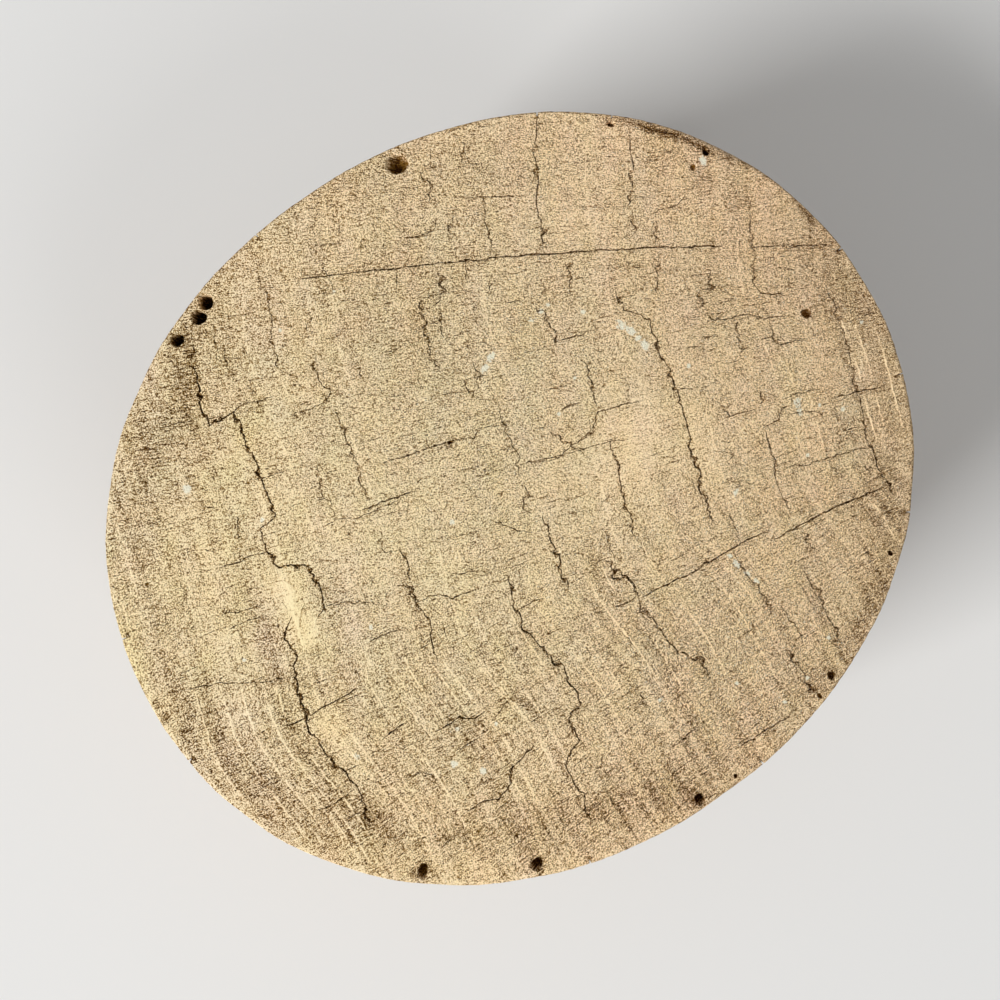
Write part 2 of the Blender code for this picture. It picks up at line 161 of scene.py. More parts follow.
# Cracks in the tip, each with how open it is, from 2 to 9, and its route. Shakes run jagged along
# the rings, from top to bottom of the picture; checks run straight along the rays, across it.
TIP_CRACKS = {
    "long check": [
        (7, [(300, 279), (358, 272), (413, 266), (499, 257), (576, 252), (657, 247), (724, 246)]),
        (4, [(745, 248), (775, 246), (836, 245)]),
    ],
    "left": [
        (7, [(192, 361), (195, 378), (200, 396), (205, 413), (209, 426), (233, 412)]),
        (8, [(233, 412), (241, 428), (250, 449), (258, 469), (264, 487), (271, 504), (275, 517)]),
        (6, [(275, 517), (259, 530), (262, 540), (267, 552)]),
        (8, [(267, 552), (281, 565), (296, 566), (309, 566), (311, 575), (321, 591), (324, 608)]),
        (3, [(324, 608), (316, 621)]),
        (3, [(233, 412), (249, 403), (274, 396)]),
        (4, [(267, 552), (249, 557), (238, 562), (218, 568)]),
        (6, [(292, 616), (288, 626), (283, 634), (286, 643), (294, 650), (298, 658), (293, 666)]),
        (9, [(293, 666), (296, 676), (298, 688), (301, 701), (307, 716), (306, 722), (309, 732)]),
        (6, [(309, 732), (322, 744), (329, 756), (337, 767), (349, 777), (360, 800), (370, 825)]),
        (6, [(284, 728), (307, 717), (320, 709), (342, 697), (359, 688)]),
        (3, [(314, 812), (324, 808), (334, 804), (344, 798), (352, 790)]),
        (2, [(346, 820), (352, 817), (360, 812)]),
        (2, [(266, 283), (268, 297), (270, 313), (271, 343), (277, 365), (282, 372)]),
        (3, [(315, 351), (316, 370), (321, 386), (330, 391), (327, 398), (312, 408), (297, 413)]),
        (3, [(332, 409), (340, 418), (345, 433), (349, 446), (355, 461)]),
        (2, [(248, 482), (264, 477), (291, 469)]),
        (2, [(322, 527), (335, 520), (359, 517), (400, 500)]),
    ],
    "top": [
        (5, [(537, 118), (537, 133), (536, 150), (536, 183), (538, 216), (543, 233), (543, 249)]),
        (3, [(482, 193), (485, 206), (487, 223), (491, 253)]),
        (3, [(465, 140), (464, 150), (465, 156), (461, 163)]),
        (3, [(419, 170), (421, 176), (431, 183), (427, 192), (433, 206)]),
        (3, [(436, 216), (435, 228), (428, 233), (408, 238)]),
        (2, [(460, 243), (455, 249), (456, 259)]),
        (5, [(630, 135), (630, 150), (633, 163), (630, 173), (630, 194), (631, 201), (627, 209)]),
        (3, [(632, 210), (636, 230), (628, 240)]),
        (2, [(653, 168), (667, 166)]),
        (4, [(651, 213), (661, 210), (678, 205), (683, 199), (694, 198)]),
        (4, [(655, 216), (656, 223), (655, 231), (657, 246)]),
        (2, [(574, 206), (600, 207), (627, 206)]),
    ],
    "rim line": [
        (4, [(637, 123), (653, 130), (669, 132.5), (678, 136.5), (692, 143), (708, 152), (735, 157)]),
    ],
    "under the long check": [
        (4, [(440, 264), (439, 276), (442, 287), (441, 301), (433, 306)]),
        (4, [(424, 305), (421, 317), (426, 322), (425, 332), (428, 344), (431, 355)]),
        (4, [(570, 254), (572, 259), (571, 268), (570, 279), (571, 297)]),
        (3, [(501, 302), (526, 301)]),
        (4, [(533, 301), (536, 307), (543, 312), (547, 322), (552, 332), (556, 341), (572, 337)]),
        (2, [(572, 337), (597, 329)]),
        (4, [(616, 287), (621, 297), (619, 302), (626, 312), (645, 316), (651, 320), (652, 332)]),
        (4, [(659, 253), (658, 262), (657, 281), (659, 297)]),
        (4, [(710, 268), (709, 276), (711, 289), (703, 291), (700, 297), (702, 306), (693, 310)]),
        (4, [(706, 311), (710, 319), (719, 320), (731, 318), (744, 314), (766, 318), (787, 316)]),
        (4, [(753, 214), (753, 229), (755, 244), (754, 268), (753, 282), (761, 293), (791, 296)]),
        (4, [(767, 322), (774, 335), (777, 345), (804, 339)]),
        (3, [(472, 360), (480, 374), (476, 392)]),
        (3, [(460, 379), (464, 382), (470, 392), (478, 400)]),
    ],
    "middle": [
        (7, [(652, 332), (658, 340), (663, 356), (672, 376), (677, 392), (684, 416), (690, 436)]),
        (8, [(690, 436), (693, 452), (698, 470), (702, 488), (708, 504), (714, 522)]),
        (5, [(580, 360), (586, 364), (590, 378), (594, 394), (598, 409)]),
        (3, [(598, 412), (593, 429), (578, 442), (560, 456), (536, 460), (516, 466)]),
        (4, [(598, 412), (618, 406), (628, 403), (640, 401)]),
        (4, [(498, 404), (502, 420), (506, 430), (509, 438), (514, 448)]),
        (4, [(376, 464), (406, 456), (434, 446), (448, 442), (460, 440), (472, 437), (482, 429)]),
        (3, [(482, 429), (488, 426), (504, 424)]),
        (5, [(360, 511), (382, 502), (400, 496), (418, 491)]),
        (3, [(549, 431), (560, 438), (584, 454)]),
        (5, [(524, 484), (528, 492), (525, 500), (526, 511), (533, 513)]),
        (6, [(543, 513), (544, 522), (550, 534), (554, 546), (557, 558), (561, 572), (568, 592)]),
        (5, [(610, 442), (614, 458), (620, 478), (624, 496), (628, 512), (633, 532), (637, 542)]),
        (3, [(490, 520), (512, 527), (528, 532)]),
        (3, [(562, 410), (570, 405), (582, 403)]),
        (3, [(478, 448), (486, 446)]),
    ],
    "right": [
        (5, [(760, 390), (763, 406)]),
        (6, [(766, 430), (770, 444), (771, 456), (776, 468), (779, 484), (786, 502), (792, 514)]),
        (4, [(846, 340), (850, 360), (855, 380), (858, 394), (862, 414), (868, 438), (874, 454)]),
        (5, [(874, 454), (880, 468), (886, 480), (896, 500)]),
        (5, [(832, 398), (846, 395), (858, 392), (871, 389), (884, 386)]),
        (4, [(763, 428), (779, 420), (780, 409), (791, 406), (792, 395), (813, 390), (820, 389)]),
        (3, [(724, 417), (730, 416), (745, 412), (758, 408)]),
        (4, [(804, 466), (828, 458), (846, 452), (870, 448)]),
        (3, [(722, 395), (723, 410), (730, 416)]),
        (3, [(786, 415), (806, 411), (823, 416), (824, 425)]),
        (3, [(837, 431), (841, 437), (840, 447)]),
        (7, [(884, 487), (864, 496), (840, 505), (816, 517), (798, 526), (774, 540)]),
        (6, [(767, 531), (744, 542), (728, 551), (714, 559), (690, 574), (665, 586), (640, 598)]),
        (4, [(726, 510), (732, 520), (735, 530), (741, 541)]),
        (4, [(733, 550), (740, 561), (749, 574), (758, 585), (761, 595), (768, 606), (770, 615)]),
        (4, [(800, 528), (808, 536), (811, 547), (820, 551)]),
        (4, [(803, 569), (811, 583), (819, 595), (824, 606), (827, 617), (835, 629), (843, 644)]),
        (5, [(781, 606), (790, 617), (793, 626), (802, 636), (802, 645)]),
        (5, [(786, 647), (795, 660), (804, 672), (807, 683), (815, 692), (822, 699)]),
        (3, [(785, 469), (795, 465), (804, 466)]),
        (3, [(860, 466), (872, 470), (878, 468)]),
    ],
    "lower right": [
        (5, [(604, 560), (610, 562), (614, 572), (618, 578), (628, 578), (634, 586), (638, 592)]),
        (5, [(615, 565), (626, 578), (637, 592), (640, 606), (651, 619), (660, 631), (669, 642)]),
        (6, [(669, 642), (677, 654), (683, 653), (692, 658), (701, 661), (708, 672), (710, 681)]),
        (4, [(640, 592), (634, 599), (612, 608)]),
        (4, [(640, 690), (645, 701), (651, 711)]),
        (3, [(670, 749), (685, 739), (697, 729)]),
        (4, [(740, 747), (772, 727), (795, 710)]),
    ],
    "lower": [
        (6, [(507, 574), (509, 582), (512, 592), (514, 602), (518, 610), (524, 629), (535, 640)]),
        (7, [(535, 640), (544, 650), (553, 659), (562, 668), (565, 677), (572, 686), (578, 693)]),
        (6, [(578, 693), (579, 702), (577, 708), (570, 715), (572, 727), (581, 741), (572, 750)]),
        (5, [(572, 750), (566, 763), (572, 775), (579, 791), (586, 793), (585, 804), (592, 824)]),
        (3, [(518, 610), (530, 603), (544, 598)]),
        (5, [(400, 546), (403, 558), (407, 572), (409, 582)]),
        (3, [(396, 585), (408, 586), (412, 596), (415, 603), (418, 614)]),
        (5, [(405, 580), (415, 600), (429, 620), (431, 632), (434, 645), (436, 657), (438, 663)]),
        (3, [(415, 603), (428, 597), (442, 594), (452, 599), (466, 593), (480, 588)]),
        (2, [(379, 528), (382, 544), (386, 552), (398, 550)]),
        (4, [(506, 699), (503, 707), (496, 717)]),
    ],
    "bottom": [
        (5, [(536, 741), (531, 749), (522, 759), (508, 772), (512, 783), (505, 791), (499, 799)]),
        (4, [(499, 799), (485, 802), (465, 813)]),
        (4, [(368, 642), (383, 635), (403, 628)]),
        (6, [(383, 739), (397, 728), (410, 721)]),
        (5, [(433, 732), (449, 725), (460, 717), (476, 718), (489, 709)]),
        (4, [(456, 754), (469, 743), (476, 740)]),
        (4, [(408, 778), (421, 772), (435, 776)]),
    ],
    "faint at the left": [
        (2, [(324, 262), (324, 270), (326, 278), (331, 284), (332, 292)]),
        (2, [(363, 258), (366, 271)]),
        (2, [(215, 318), (214, 332), (217, 360)]),
        (3, [(192, 340), (195, 352), (191, 362)]),
        (2, [(307, 312), (311, 318), (308, 325), (307, 332)]),
        (2, [(323, 338), (332, 339), (341, 335)]),
        (2, [(251, 378), (250, 387), (252, 396)]),
        (2, [(293, 409), (298, 420)]),
        (3, [(355, 461), (360, 470), (361, 480), (366, 490), (370, 502)]),
        (2, [(318, 462), (319, 480), (322, 492), (326, 500), (332, 512), (335, 520)]),
        (2, [(361, 442), (372, 440), (383, 436)]),
        (2, [(361, 366), (362, 380)]),
        (2, [(382, 358), (383, 352), (402, 350)]),
        (2, [(366, 386), (380, 384)]),
        (2, [(384, 398), (402, 395)]),
        (2, [(398, 436), (418, 436)]),
        (3, [(440, 306), (441, 320), (443, 333), (447, 342)]),
        (3, [(421, 296), (420, 306), (423, 317)]),
        (2, [(430, 348), (433, 358), (440, 372)]),
        (2, [(462, 381), (476, 377), (490, 375)]),
        (2, [(562, 410), (570, 405), (582, 402)]),
        (3, [(589, 417), (592, 430), (582, 439), (579, 442)]),
        (2, [(612, 450), (616, 462), (620, 475)]),
        (2, [(550, 431), (565, 442), (580, 452), (592, 460)]),
        (3, [(229, 519), (236, 517), (238, 530), (240, 540)]),
        (3, [(203, 507), (215, 507)]),
        (3, [(203, 550), (215, 551)]),
        (2, [(220, 612), (237, 612), (262, 605)]),
        (2, [(226, 631), (244, 622), (264, 616)]),
        (2, [(185, 690), (220, 684), (255, 683), (292, 677)]),
        (2, [(326, 606), (353, 601), (380, 605)]),
    ],
    "faint in the middle": [
        (2, [(447, 199), (480, 197), (530, 195)]),
        (2, [(630, 197), (655, 197)]),
        (2, [(453, 210), (453, 226), (457, 241)]),
        (2, [(634, 212), (636, 228), (628, 236), (621, 241)]),
        (2, [(541, 281), (543, 290), (540, 298)]),
        (2, [(491, 274), (492, 296)]),
        (3, [(514, 448), (517, 462), (520, 477)]),
        (2, [(532, 464), (555, 459), (577, 450), (610, 442), (627, 439)]),
        (2, [(600, 502), (617, 495)]),
        (2, [(602, 527), (610, 545), (617, 560)]),
        (2, [(562, 515), (587, 510)]),
        (3, [(450, 574), (482, 571)]),
        (2, [(512, 567), (530, 560)]),
        (2, [(455, 537), (480, 531)]),
        (2, [(664, 458), (673, 456), (679, 451)]),
    ],
    "faint at the right": [
        (3, [(682, 318), (700, 317)]),
        (3, [(737, 317), (738, 332), (740, 340)]),
        (3, [(702, 339), (708, 336), (718, 334)]),
        (3, [(683, 348), (700, 346)]),
        (3, [(740, 340), (745, 348), (741, 353)]),
        (3, [(740, 364), (741, 372), (744, 376)]),
        (3, [(676, 390), (682, 388), (690, 388), (695, 391)]),
        (2, [(702, 386), (709, 386), (712, 383), (720, 383)]),
        (3, [(764, 395), (773, 393), (778, 397)]),
        (2, [(755, 266), (768, 267)]),
        (3, [(782, 269), (787, 268), (798, 270)]),
        (2, [(788, 275), (791, 292)]),
        (3, [(760, 339), (774, 336)]),
        (3, [(861, 317), (866, 313), (875, 313)]),
        (3, [(720, 453), (726, 451), (732, 455), (728, 461)]),
        (2, [(723, 441), (733, 441)]),
        (3, [(721, 484), (733, 482), (741, 480)]),
        (2, [(743, 481), (750, 484), (758, 481)]),
        (2, [(824, 478), (830, 481), (834, 490)]),
        (2, [(831, 462), (834, 467), (840, 469)]),
        (3, [(844, 431), (858, 427)]),
        (2, [(806, 437), (817, 439)]),
        (2, [(831, 348), (837, 350), (845, 348)]),
        (3, [(826, 284), (832, 300), (838, 315), (846, 340)]),
        (3, [(830, 398), (838, 415)]),
    ],
}
CRACK_STEP = 0.00042
CRACK_JAG = 0.00030
JAG_HOLD = 0.55
# A traced crack's width is three quarters of its opening plus three, in twentieths of a millimetre, and
# the depths are in widths.
OPENING_UNIT = 5e-5
CRACK_DEPTH = 2.8
CRACK_TAPER = 0.0022
HAIR_CHECKS = 740
HAIR_WIDTHS = (0.00012, 0.00022)
HAIR_DEPTH = 2.0
HAIR_LENGTHS = (0.0010, 0.0090)
HAIR_RING_SHARE = 0.22
SHAKE_WAVER = 0.00012
# Faint shakes that run a long way on one ring: the ring in millimetres, and the bearings from and to.
HAIR_SHAKES = [
    (133.5, 6, 12), (136.2, 5, 13), (147.7, -2, 3), (147.7, 5, 12), (149.4, 18, 24), (152.2, 29, 33),
    (156.9, 10, 14), (161.1, 29, 34), (187.5, 5, 9), (191.4, 18, 22), (197.0, 24, 29), (207.2, 30, 35),
    (213.4, 12, 16), (218.6, 27, 32), (231.0, 18, 22), (233.7, -3, 4), (247.8, 6, 12), (254.9, -2, 4),
    (261.9, 24, 29), (274.3, 17, 22), (281.8, 18, 21), (294.1, 24, 28), (299.1, 24, 28),
]
dice = np.random.default_rng(58)


def held_jag(count):
    """A jagged line of random steps: each value is kept for a random few points before the next."""
    jump = dice.random(count) > JAG_HOLD
    level = dice.normal(size=count)
    return level[np.maximum.accumulate(np.where(jump, np.arange(count), 0))]


def crack_line(route, width, depth, jag, thin_ends=(True, True)):
    """A crack's centre line with a half width and a depth at each point: the route is walked in even
    steps, thrown off it sideways in jagged steps, more where it follows the rings than where it follows
    a ray. It thins out towards an end, unless it joins another crack there."""
    legs = np.hypot(*np.diff(route, axis=0).T)
    walked = np.concatenate([[0], np.cumsum(legs)])
    count = max(5, int(walked[-1] / CRACK_STEP) + 1)
    at = np.linspace(0, walked[-1], count)
    centre = np.stack([np.interp(at, walked, route[:, axis]) for axis in (0, 1)], axis=-1)
    heading = np.gradient(centre, axis=0)
    heading /= np.hypot(*heading.T)[:, None]
    side = np.stack([-heading[:, 1], heading[:, 0]], axis=-1)
    ray = (centre - PITH) / np.hypot(*(centre - PITH).T)[:, None]
    across = np.abs((side * ray).sum(-1))
    taper = min(CRACK_TAPER, 0.4 * walked[-1])
    start = np.clip(at / taper, 0, 1) ** 0.7
    end = np.clip((walked[-1] - at) / taper, 0, 1) ** 0.7
    throw = jag * held_jag(count) * (0.35 + 0.95 * across) * start * end
    thin = (start if thin_ends[0] else 1) * (end if thin_ends[1] else 1)
    swell = 0.55 + 0.9 * dice.random(count) ** 1.5
    half = width / 2 * (0.2 + 0.8 * thin) * swell
    return centre + side * throw[:, None], side, half, depth * (0.25 + 0.75 * thin) * swell


def hair_route():
    """A short route somewhere on the tip, along the ray or the ring that passes there, slightly bowed.
    Hair checks gather on the side nearest the pith, where the wood dried hardest."""
    reach = math.sqrt(dice.random()) * 0.94
    x, y = oval(dice.uniform(0, 2 * np.pi), *(TIP_HALF * reach))
    ring, degrees = ring_distance(x, y), bearing(x, y)
    if dice.random() < np.clip((ring - 0.22) / 0.2, 0, 0.4):
        return hair_route()
    length = np.exp(dice.uniform(*np.log(HAIR_LENGTHS)))
    along = np.linspace(-0.5, 0.5, 5)
    bow = dice.normal() * 0.06 * length * (along * 2) ** 2
    if dice.random() < HAIR_RING_SHARE:
        return in_grain(ring + bow, degrees + np.degrees(along * length * 0.8 / MIDDLE_RADIUS))
    return in_grain(ring + along * length, degrees + np.degrees(bow / MIDDLE_RADIUS))


cracks = []
corners = [pixel for routes in TIP_CRACKS.values() for _, route in routes for pixel in route]
for routes in TIP_CRACKS.values():
    for opening, route in routes:
        width = (0.75 * opening + 3.0) * OPENING_UNIT
        thin_ends = (corners.count(route[0]) == 1, corners.count(route[-1]) == 1)
        cracks.append(crack_line(on_tip(route), width, width * CRACK_DEPTH, CRACK_JAG, thin_ends))
for _ in range(HAIR_CHECKS):
    width = dice.uniform(*HAIR_WIDTHS)
    cracks.append(crack_line(hair_route(), width, width * HAIR_DEPTH, CRACK_JAG * 0.5))
for ring, start, end in HAIR_SHAKES:
    at = start
    while at < end:
        length = dice.uniform(0.3, 1.1)
        wavering = ring / 1000 + SHAKE_WAVER * dice.normal(size=5)
        route = in_grain(wavering, at + length * np.linspace(0, 1, 5))
        width = HAIR_WIDTHS[0]
        cracks.append(crack_line(route, width, width * HAIR_DEPTH, CRACK_JAG * 0.6))
        at += length + dice.uniform(0.2, 1.2)

# Nail holes in the tip, most of them along its rim, left by tacks that held felt; those right at the rim
# have worn into shallow pits. Place, half width and half height in pixels, slant in the picture, depth, and
# lean from upright with the bearing in the picture that the hole leans towards.
NAIL_HOLES = {
    "large": ((396, 163), 11.4, 9.6, 0, 0.0034, 20, 320),
    "twin upper": ((205, 302), 7.2, 7.4, 0, 0.0100, 0, 0),
    "twin lower": ((199, 317), 7.6, 6.6, 20, 0.0090, 0, 0),
    "left": ((177, 340), 7.2, 5.6, 40, 0.0075, 0, 0),
    "right pit": ((807, 313), 5.6, 4.6, -40, 0.0022, 0, 0),
    "right rim": ((891, 553), 2.8, 2.6, 0, 0.0022, 0, 0),
    "upper pit": ((693, 167), 3.0, 3.4, 0, 0.0007, 0, 0),
    "small": ((736, 776), 2.2, 2.2, 0, 0.0014, 0, 0),
    "middle": ((450, 442), 2.6, 1.9, 20, 0.0009, 0, 0),
    "right upper": ((832, 676), 4.6, 3.6, -50, 0.0016, 10, 120),
    "right lower": ((820, 696), 3.2, 2.2, -50, 0.0012, 0, 0),
    "lower": ((701, 800), 6.2, 5.6, -40, 0.0034, 20, 130),
    "bottom": ((537, 865), 5.6, 7.0, -30, 0.0032, 18, 60),
    "bottom left": ((423, 872), 5.2, 7.6, -16, 0.0026, 18, 90),
    "top right": ((706, 151), 3.6, 4.4, 30, 0.0030, 10, 300),
    "top": ((611, 123), 4.6, 3.6, -20, 0.0034, 25, 250),
}
HOLE_SIDES = 20
# A hole's rings from its worn mouth to its floor: their share of its size and of its depth.
HOLE_RINGS = ((1.14, 0.0), (1.02, 0.08), (0.96, 0.50), (0.90, 0.92), (0.45, 1.0))

# The wall, rim and underside as a grid: columns round the oval, and rows down the rim, the wall, the cord
# groove, the base and the seats of the fitting. The rim is worn rounder where a hand lifts the block, and
# drying checks run down the wall where cracks of the tip reach the rim.
COLUMNS = 500
RIM_ROUND = 0.00050
# Worn places of the rim: place, how much rounder in metres, and reach in pixels.
RIM_WEAR = {
    "upper right": ((722, 150), 0.00130, 48),
    "left": ((126, 650), 0.00060, 60),
    "right": ((900, 420), 0.00035, 90),
    "bottom": ((470, 884), 0.00020, 80),
}
RIM_ROWS = 6
RELIEF = 0.00014
BASE_ROUND = 0.0012
CORD_GROOVE_RISE = 0.011
CORD_GROOVE_RADIUS = 0.0028
CORD_GROOVE_DEPTH = 0.0018
FIT_GAP = 0.0003
BORE_END_GAP = 0.0010
BUSH_RADIUS = 0.0151
COLLAR_THICKNESS = 0.0020
UNDERSIDE_SHARES = (0.05, 0.12, 0.4, 0.7, 0.88, 1.0)
_, plate_high = (np.array(corner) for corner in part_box("socket_plate"))
bush_low, bush_high = (np.array(corner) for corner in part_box("spindle_bush"))
# Checks in the wall: where they leave the tip, how far down they run, and how wide they gape there.
WALL_CHECKS = {
    "right": ((847, 244), 0.046, 0.00050),
    "right middle": ((907, 372), 0.028, 0.00040),
    "right lower": ((905, 512), 0.033, 0.00050),
    "top": ((537, 116), 0.024, 0.00045),
    "top left": ((611, 119), 0.017, 0.00035),
    "left": ((120, 640), 0.038, 0.00040),
    "bottom left": ((190, 760), 0.052, 0.00050),
    "bottom": ((592, 870), 0.030, 0.00040),
    "upper left": ((258, 237), 0.021, 0.00035),
    "lower right": ((760, 760), 0.036, 0.00045),
}
CHECK_CUT = 0.0010
CHECK_ROOM = 0.0085
CHECK_WANDER = 0.00022
WALL_ROWS = 24
GROOVE_ROWS = 9
WEAR_DEPTHS = (0.00010, 0.00005)


def waves(x, y, size, seed, count=14):
    """Smooth random relief between about -1 and 1: the mean of plane waves of random heading and phase,
    with lengths from half the size to twice the size."""
    dice = np.random.default_rng(seed)
    heading = dice.uniform(0, 2 * np.pi, count)
    rate = 2 * np.pi / (size * 2 ** dice.uniform(-1, 1, count))
    phase = dice.uniform(0, 2 * np.pi, count)
    total = np.zeros(np.broadcast(x, y).shape)
    for turn, speed, start in zip(heading, rate, phase):
        total += np.sin((x * np.cos(turn) + y * np.sin(turn)) * speed + start)
    return total / np.sqrt(count / 2) / 1.6


def away_from(points, pixel):
    """Distances of points of the tip from a pixel of the photograph."""
    return np.hypot(*(points - on_tip(pixel)).T)


def column_angles():
    """Angles of the columns: even ones, but for three close ones at each of the wall's checks. Also
    returns which check a column is the middle of, or -1."""
    even = np.linspace(-np.pi, np.pi, COLUMNS, endpoint=False)
    middles = np.array([oval_angle(*on_tip(pixel)) for pixel, _, _ in WALL_CHECKS.values()])
    halves = np.array([width / 2 / TIP_HALF[0] for _, _, width in WALL_CHECKS.values()])
    near = np.abs((even[:, None] - middles + np.pi) % (2 * np.pi) - np.pi) < CHECK_ROOM
    even = even[~near.any(-1)]
    angles = np.concatenate([even, middles - halves, middles, middles + halves])
    none = 0 * middles - 1
    code = np.concatenate([np.full(len(even), -1), none, np.arange(len(middles)), none])
    order = np.argsort(angles)
    return angles[order], code[order].astype(int)


def rim_radius(angles):
    """The radius of the rim's rounding at each column: an even one, more in the worn places, which fade
    out as Gaussians of their reach in pixels."""
    x, y = oval(angles, *TIP_HALF)
    radius = RIM_ROUND * (1 + 0.15 * waves(x, y, 0.012, 31))
    for pixel, extra, reach in RIM_WEAR.values():
        away = away_from(np.stack([x, y], -1), pixel) / PIXEL
        radius += extra * np.exp(-((away / reach) ** 2))
    return radius


def rim_profile(angles):
    """(inset, height) of the rounded rim's rows at each column: a quarter circle from the tip's level to
    the wall."""
    turn = np.linspace(0, np.pi / 2, RIM_ROWS)[:, None]
    radius = rim_radius(angles)
    return radius * (1 - np.sin(turn)), BLOCK_HEIGHT - RELIEF - radius * (1 - np.cos(turn))


def wall_profile(angles):
    """(inset, height) of the wall's rows at each column: steps that lengthen away from the rim, then the
    cord groove, an arc cut in from outside, and the rounded base edge."""
    half_mouth = math.sqrt(CORD_GROOVE_RADIUS**2 - (CORD_GROOVE_RADIUS - CORD_GROOVE_DEPTH) ** 2)
    groove_top = CORD_GROOVE_RISE + half_mouth
    top = BLOCK_HEIGHT - RELIEF - rim_radius(angles)
    fall = (np.linspace(0, 1, WALL_ROWS + 2)[1:-1] ** 1.6)[:, None]
    wall = top - (top - groove_top) * fall
    sweep = np.linspace(1, -1, GROOVE_ROWS) * math.asin(half_mouth / CORD_GROOVE_RADIUS)
    groove = CORD_GROOVE_RISE + CORD_GROOVE_RADIUS * np.sin(sweep)
    bite = CORD_GROOVE_RADIUS * np.cos(sweep) - (CORD_GROOVE_RADIUS - CORD_GROOVE_DEPTH)
    turn = np.linspace(0, np.pi / 2, 5)
    low_inset = np.concatenate([bite, [0], BASE_ROUND * (1 - np.cos(turn))])
    between = (groove[-1] + BASE_ROUND) / 2
    low_height = np.concatenate([groove, [between], BASE_ROUND * (1 - np.sin(turn))])
    wide = np.ones((1, len(angles)))
    inset = np.concatenate([0 * wall, low_inset[:, None] * wide])
    return inset, np.concatenate([wall, low_height[:, None] * wide])


def wall_points(angles, check_of, inset, height):
    """The wall's points at each row and column: the oval at the row's height, drawn in by its inset and by
    wear, and cut in where a check runs down. Also returns how far each check cuts there, as a share from
    nothing to one.
    """
    half_length, half_width = half_sizes(height)
    down = BLOCK_HEIGHT - height
    cut = np.zeros(height.shape)
    wander = np.zeros(height.shape)
    for number, (_, length, width) in enumerate(WALL_CHECKS.values()):
        middle = np.flatnonzero(check_of == number)[0]
        left = np.clip(1 - down[:, middle] / length, 0, 1)
        cut[:, middle] = left**0.7
        shift = CHECK_WANDER * waves(down[:, middle], 0 * left, 0.005, number + 40)
        shift = np.clip(shift, -0.0004, 0.0004) * np.clip(down[:, middle] / 0.004, 0, 1)
        for column in (middle - 1, middle, middle + 1):
            wander[:, column] = shift / TIP_HALF[0]
    x, y = oval(angles[None, :] + wander, half_length - inset, half_width - inset)
    girth = angles[None, :] * TIP_HALF[0]
    wear = WEAR_DEPTHS[0] * (1 + waves(girth, height, 0.02, 11))
    wear = wear + WEAR_DEPTHS[1] * (1 + waves(girth * 6, height, 0.008, 12))
    pull = 1 - (np.clip(wear, 0, None) + CHECK_CUT * cut) / np.hypot(x, y)
    return np.stack([x * pull, y * pull, height], axis=-1), cut


def underside_points(angles):
    """The underside's grid: from the base oval in to the round plate recess, then down the seats of the
    plate, the collar and the bush as circles, to one point at the end of the bore."""
    inner = BASE_HALF - BASE_ROUND
    recess = plate_high[0] + FIT_GAP
    seat = bush_high[0] + FIT_GAP
    bore = BUSH_RADIUS + FIT_GAP
    recess_top = plate_high[2] + FIT_GAP
    seat_top = bush_low[2] + COLLAR_THICKNESS + FIT_GAP
    bore_top = bush_high[2] + BORE_END_GAP
    outer_x, outer_y = oval(angles, *inner)
    rows = []
    for share in UNDERSIDE_SHARES:
        x = outer_x + (recess * np.cos(angles) - outer_x) * share
        y = outer_y + (recess * np.sin(angles) - outer_y) * share
        rows.append(np.stack([x, y, 0 * x], axis=-1))
    circles = [
        (recess, recess_top / 2),
        (recess, recess_top),
        (seat, recess_top),
        (seat, seat_top),
        (bore, seat_top),
        (bore, (seat_top + bore_top) / 2),
        (bore, bore_top),
        (bore / 2, bore_top),
    ]
    for radius, height in circles:
        ring = [radius * np.cos(angles), radius * np.sin(angles), np.full(angles.shape, height)]
        rows.append(np.stack(ring, axis=-1))
    return np.array(rows), np.array([0, 0, bore_top])


angles, check_of = column_angles()
rim_inset, rim_height = rim_profile(angles)
wall_inset, wall_height = wall_profile(angles)
side_inset = np.concatenate([rim_inset, wall_inset])
side_height = np.concatenate([rim_height, wall_height])
side_rows, check_cut = wall_points(angles, check_of, side_inset, side_height)
under_rows, bore_end = underside_points(angles)

# The tip: the block's own end grain, sawn flat and worn. A field of points bounded by the rim's first row
# is triangulated with the cracks' edges and floors, the proud rings and the nail holes as its lines, so
# that each is real relief in the wood.
FIELD_SPACING = 0.00100
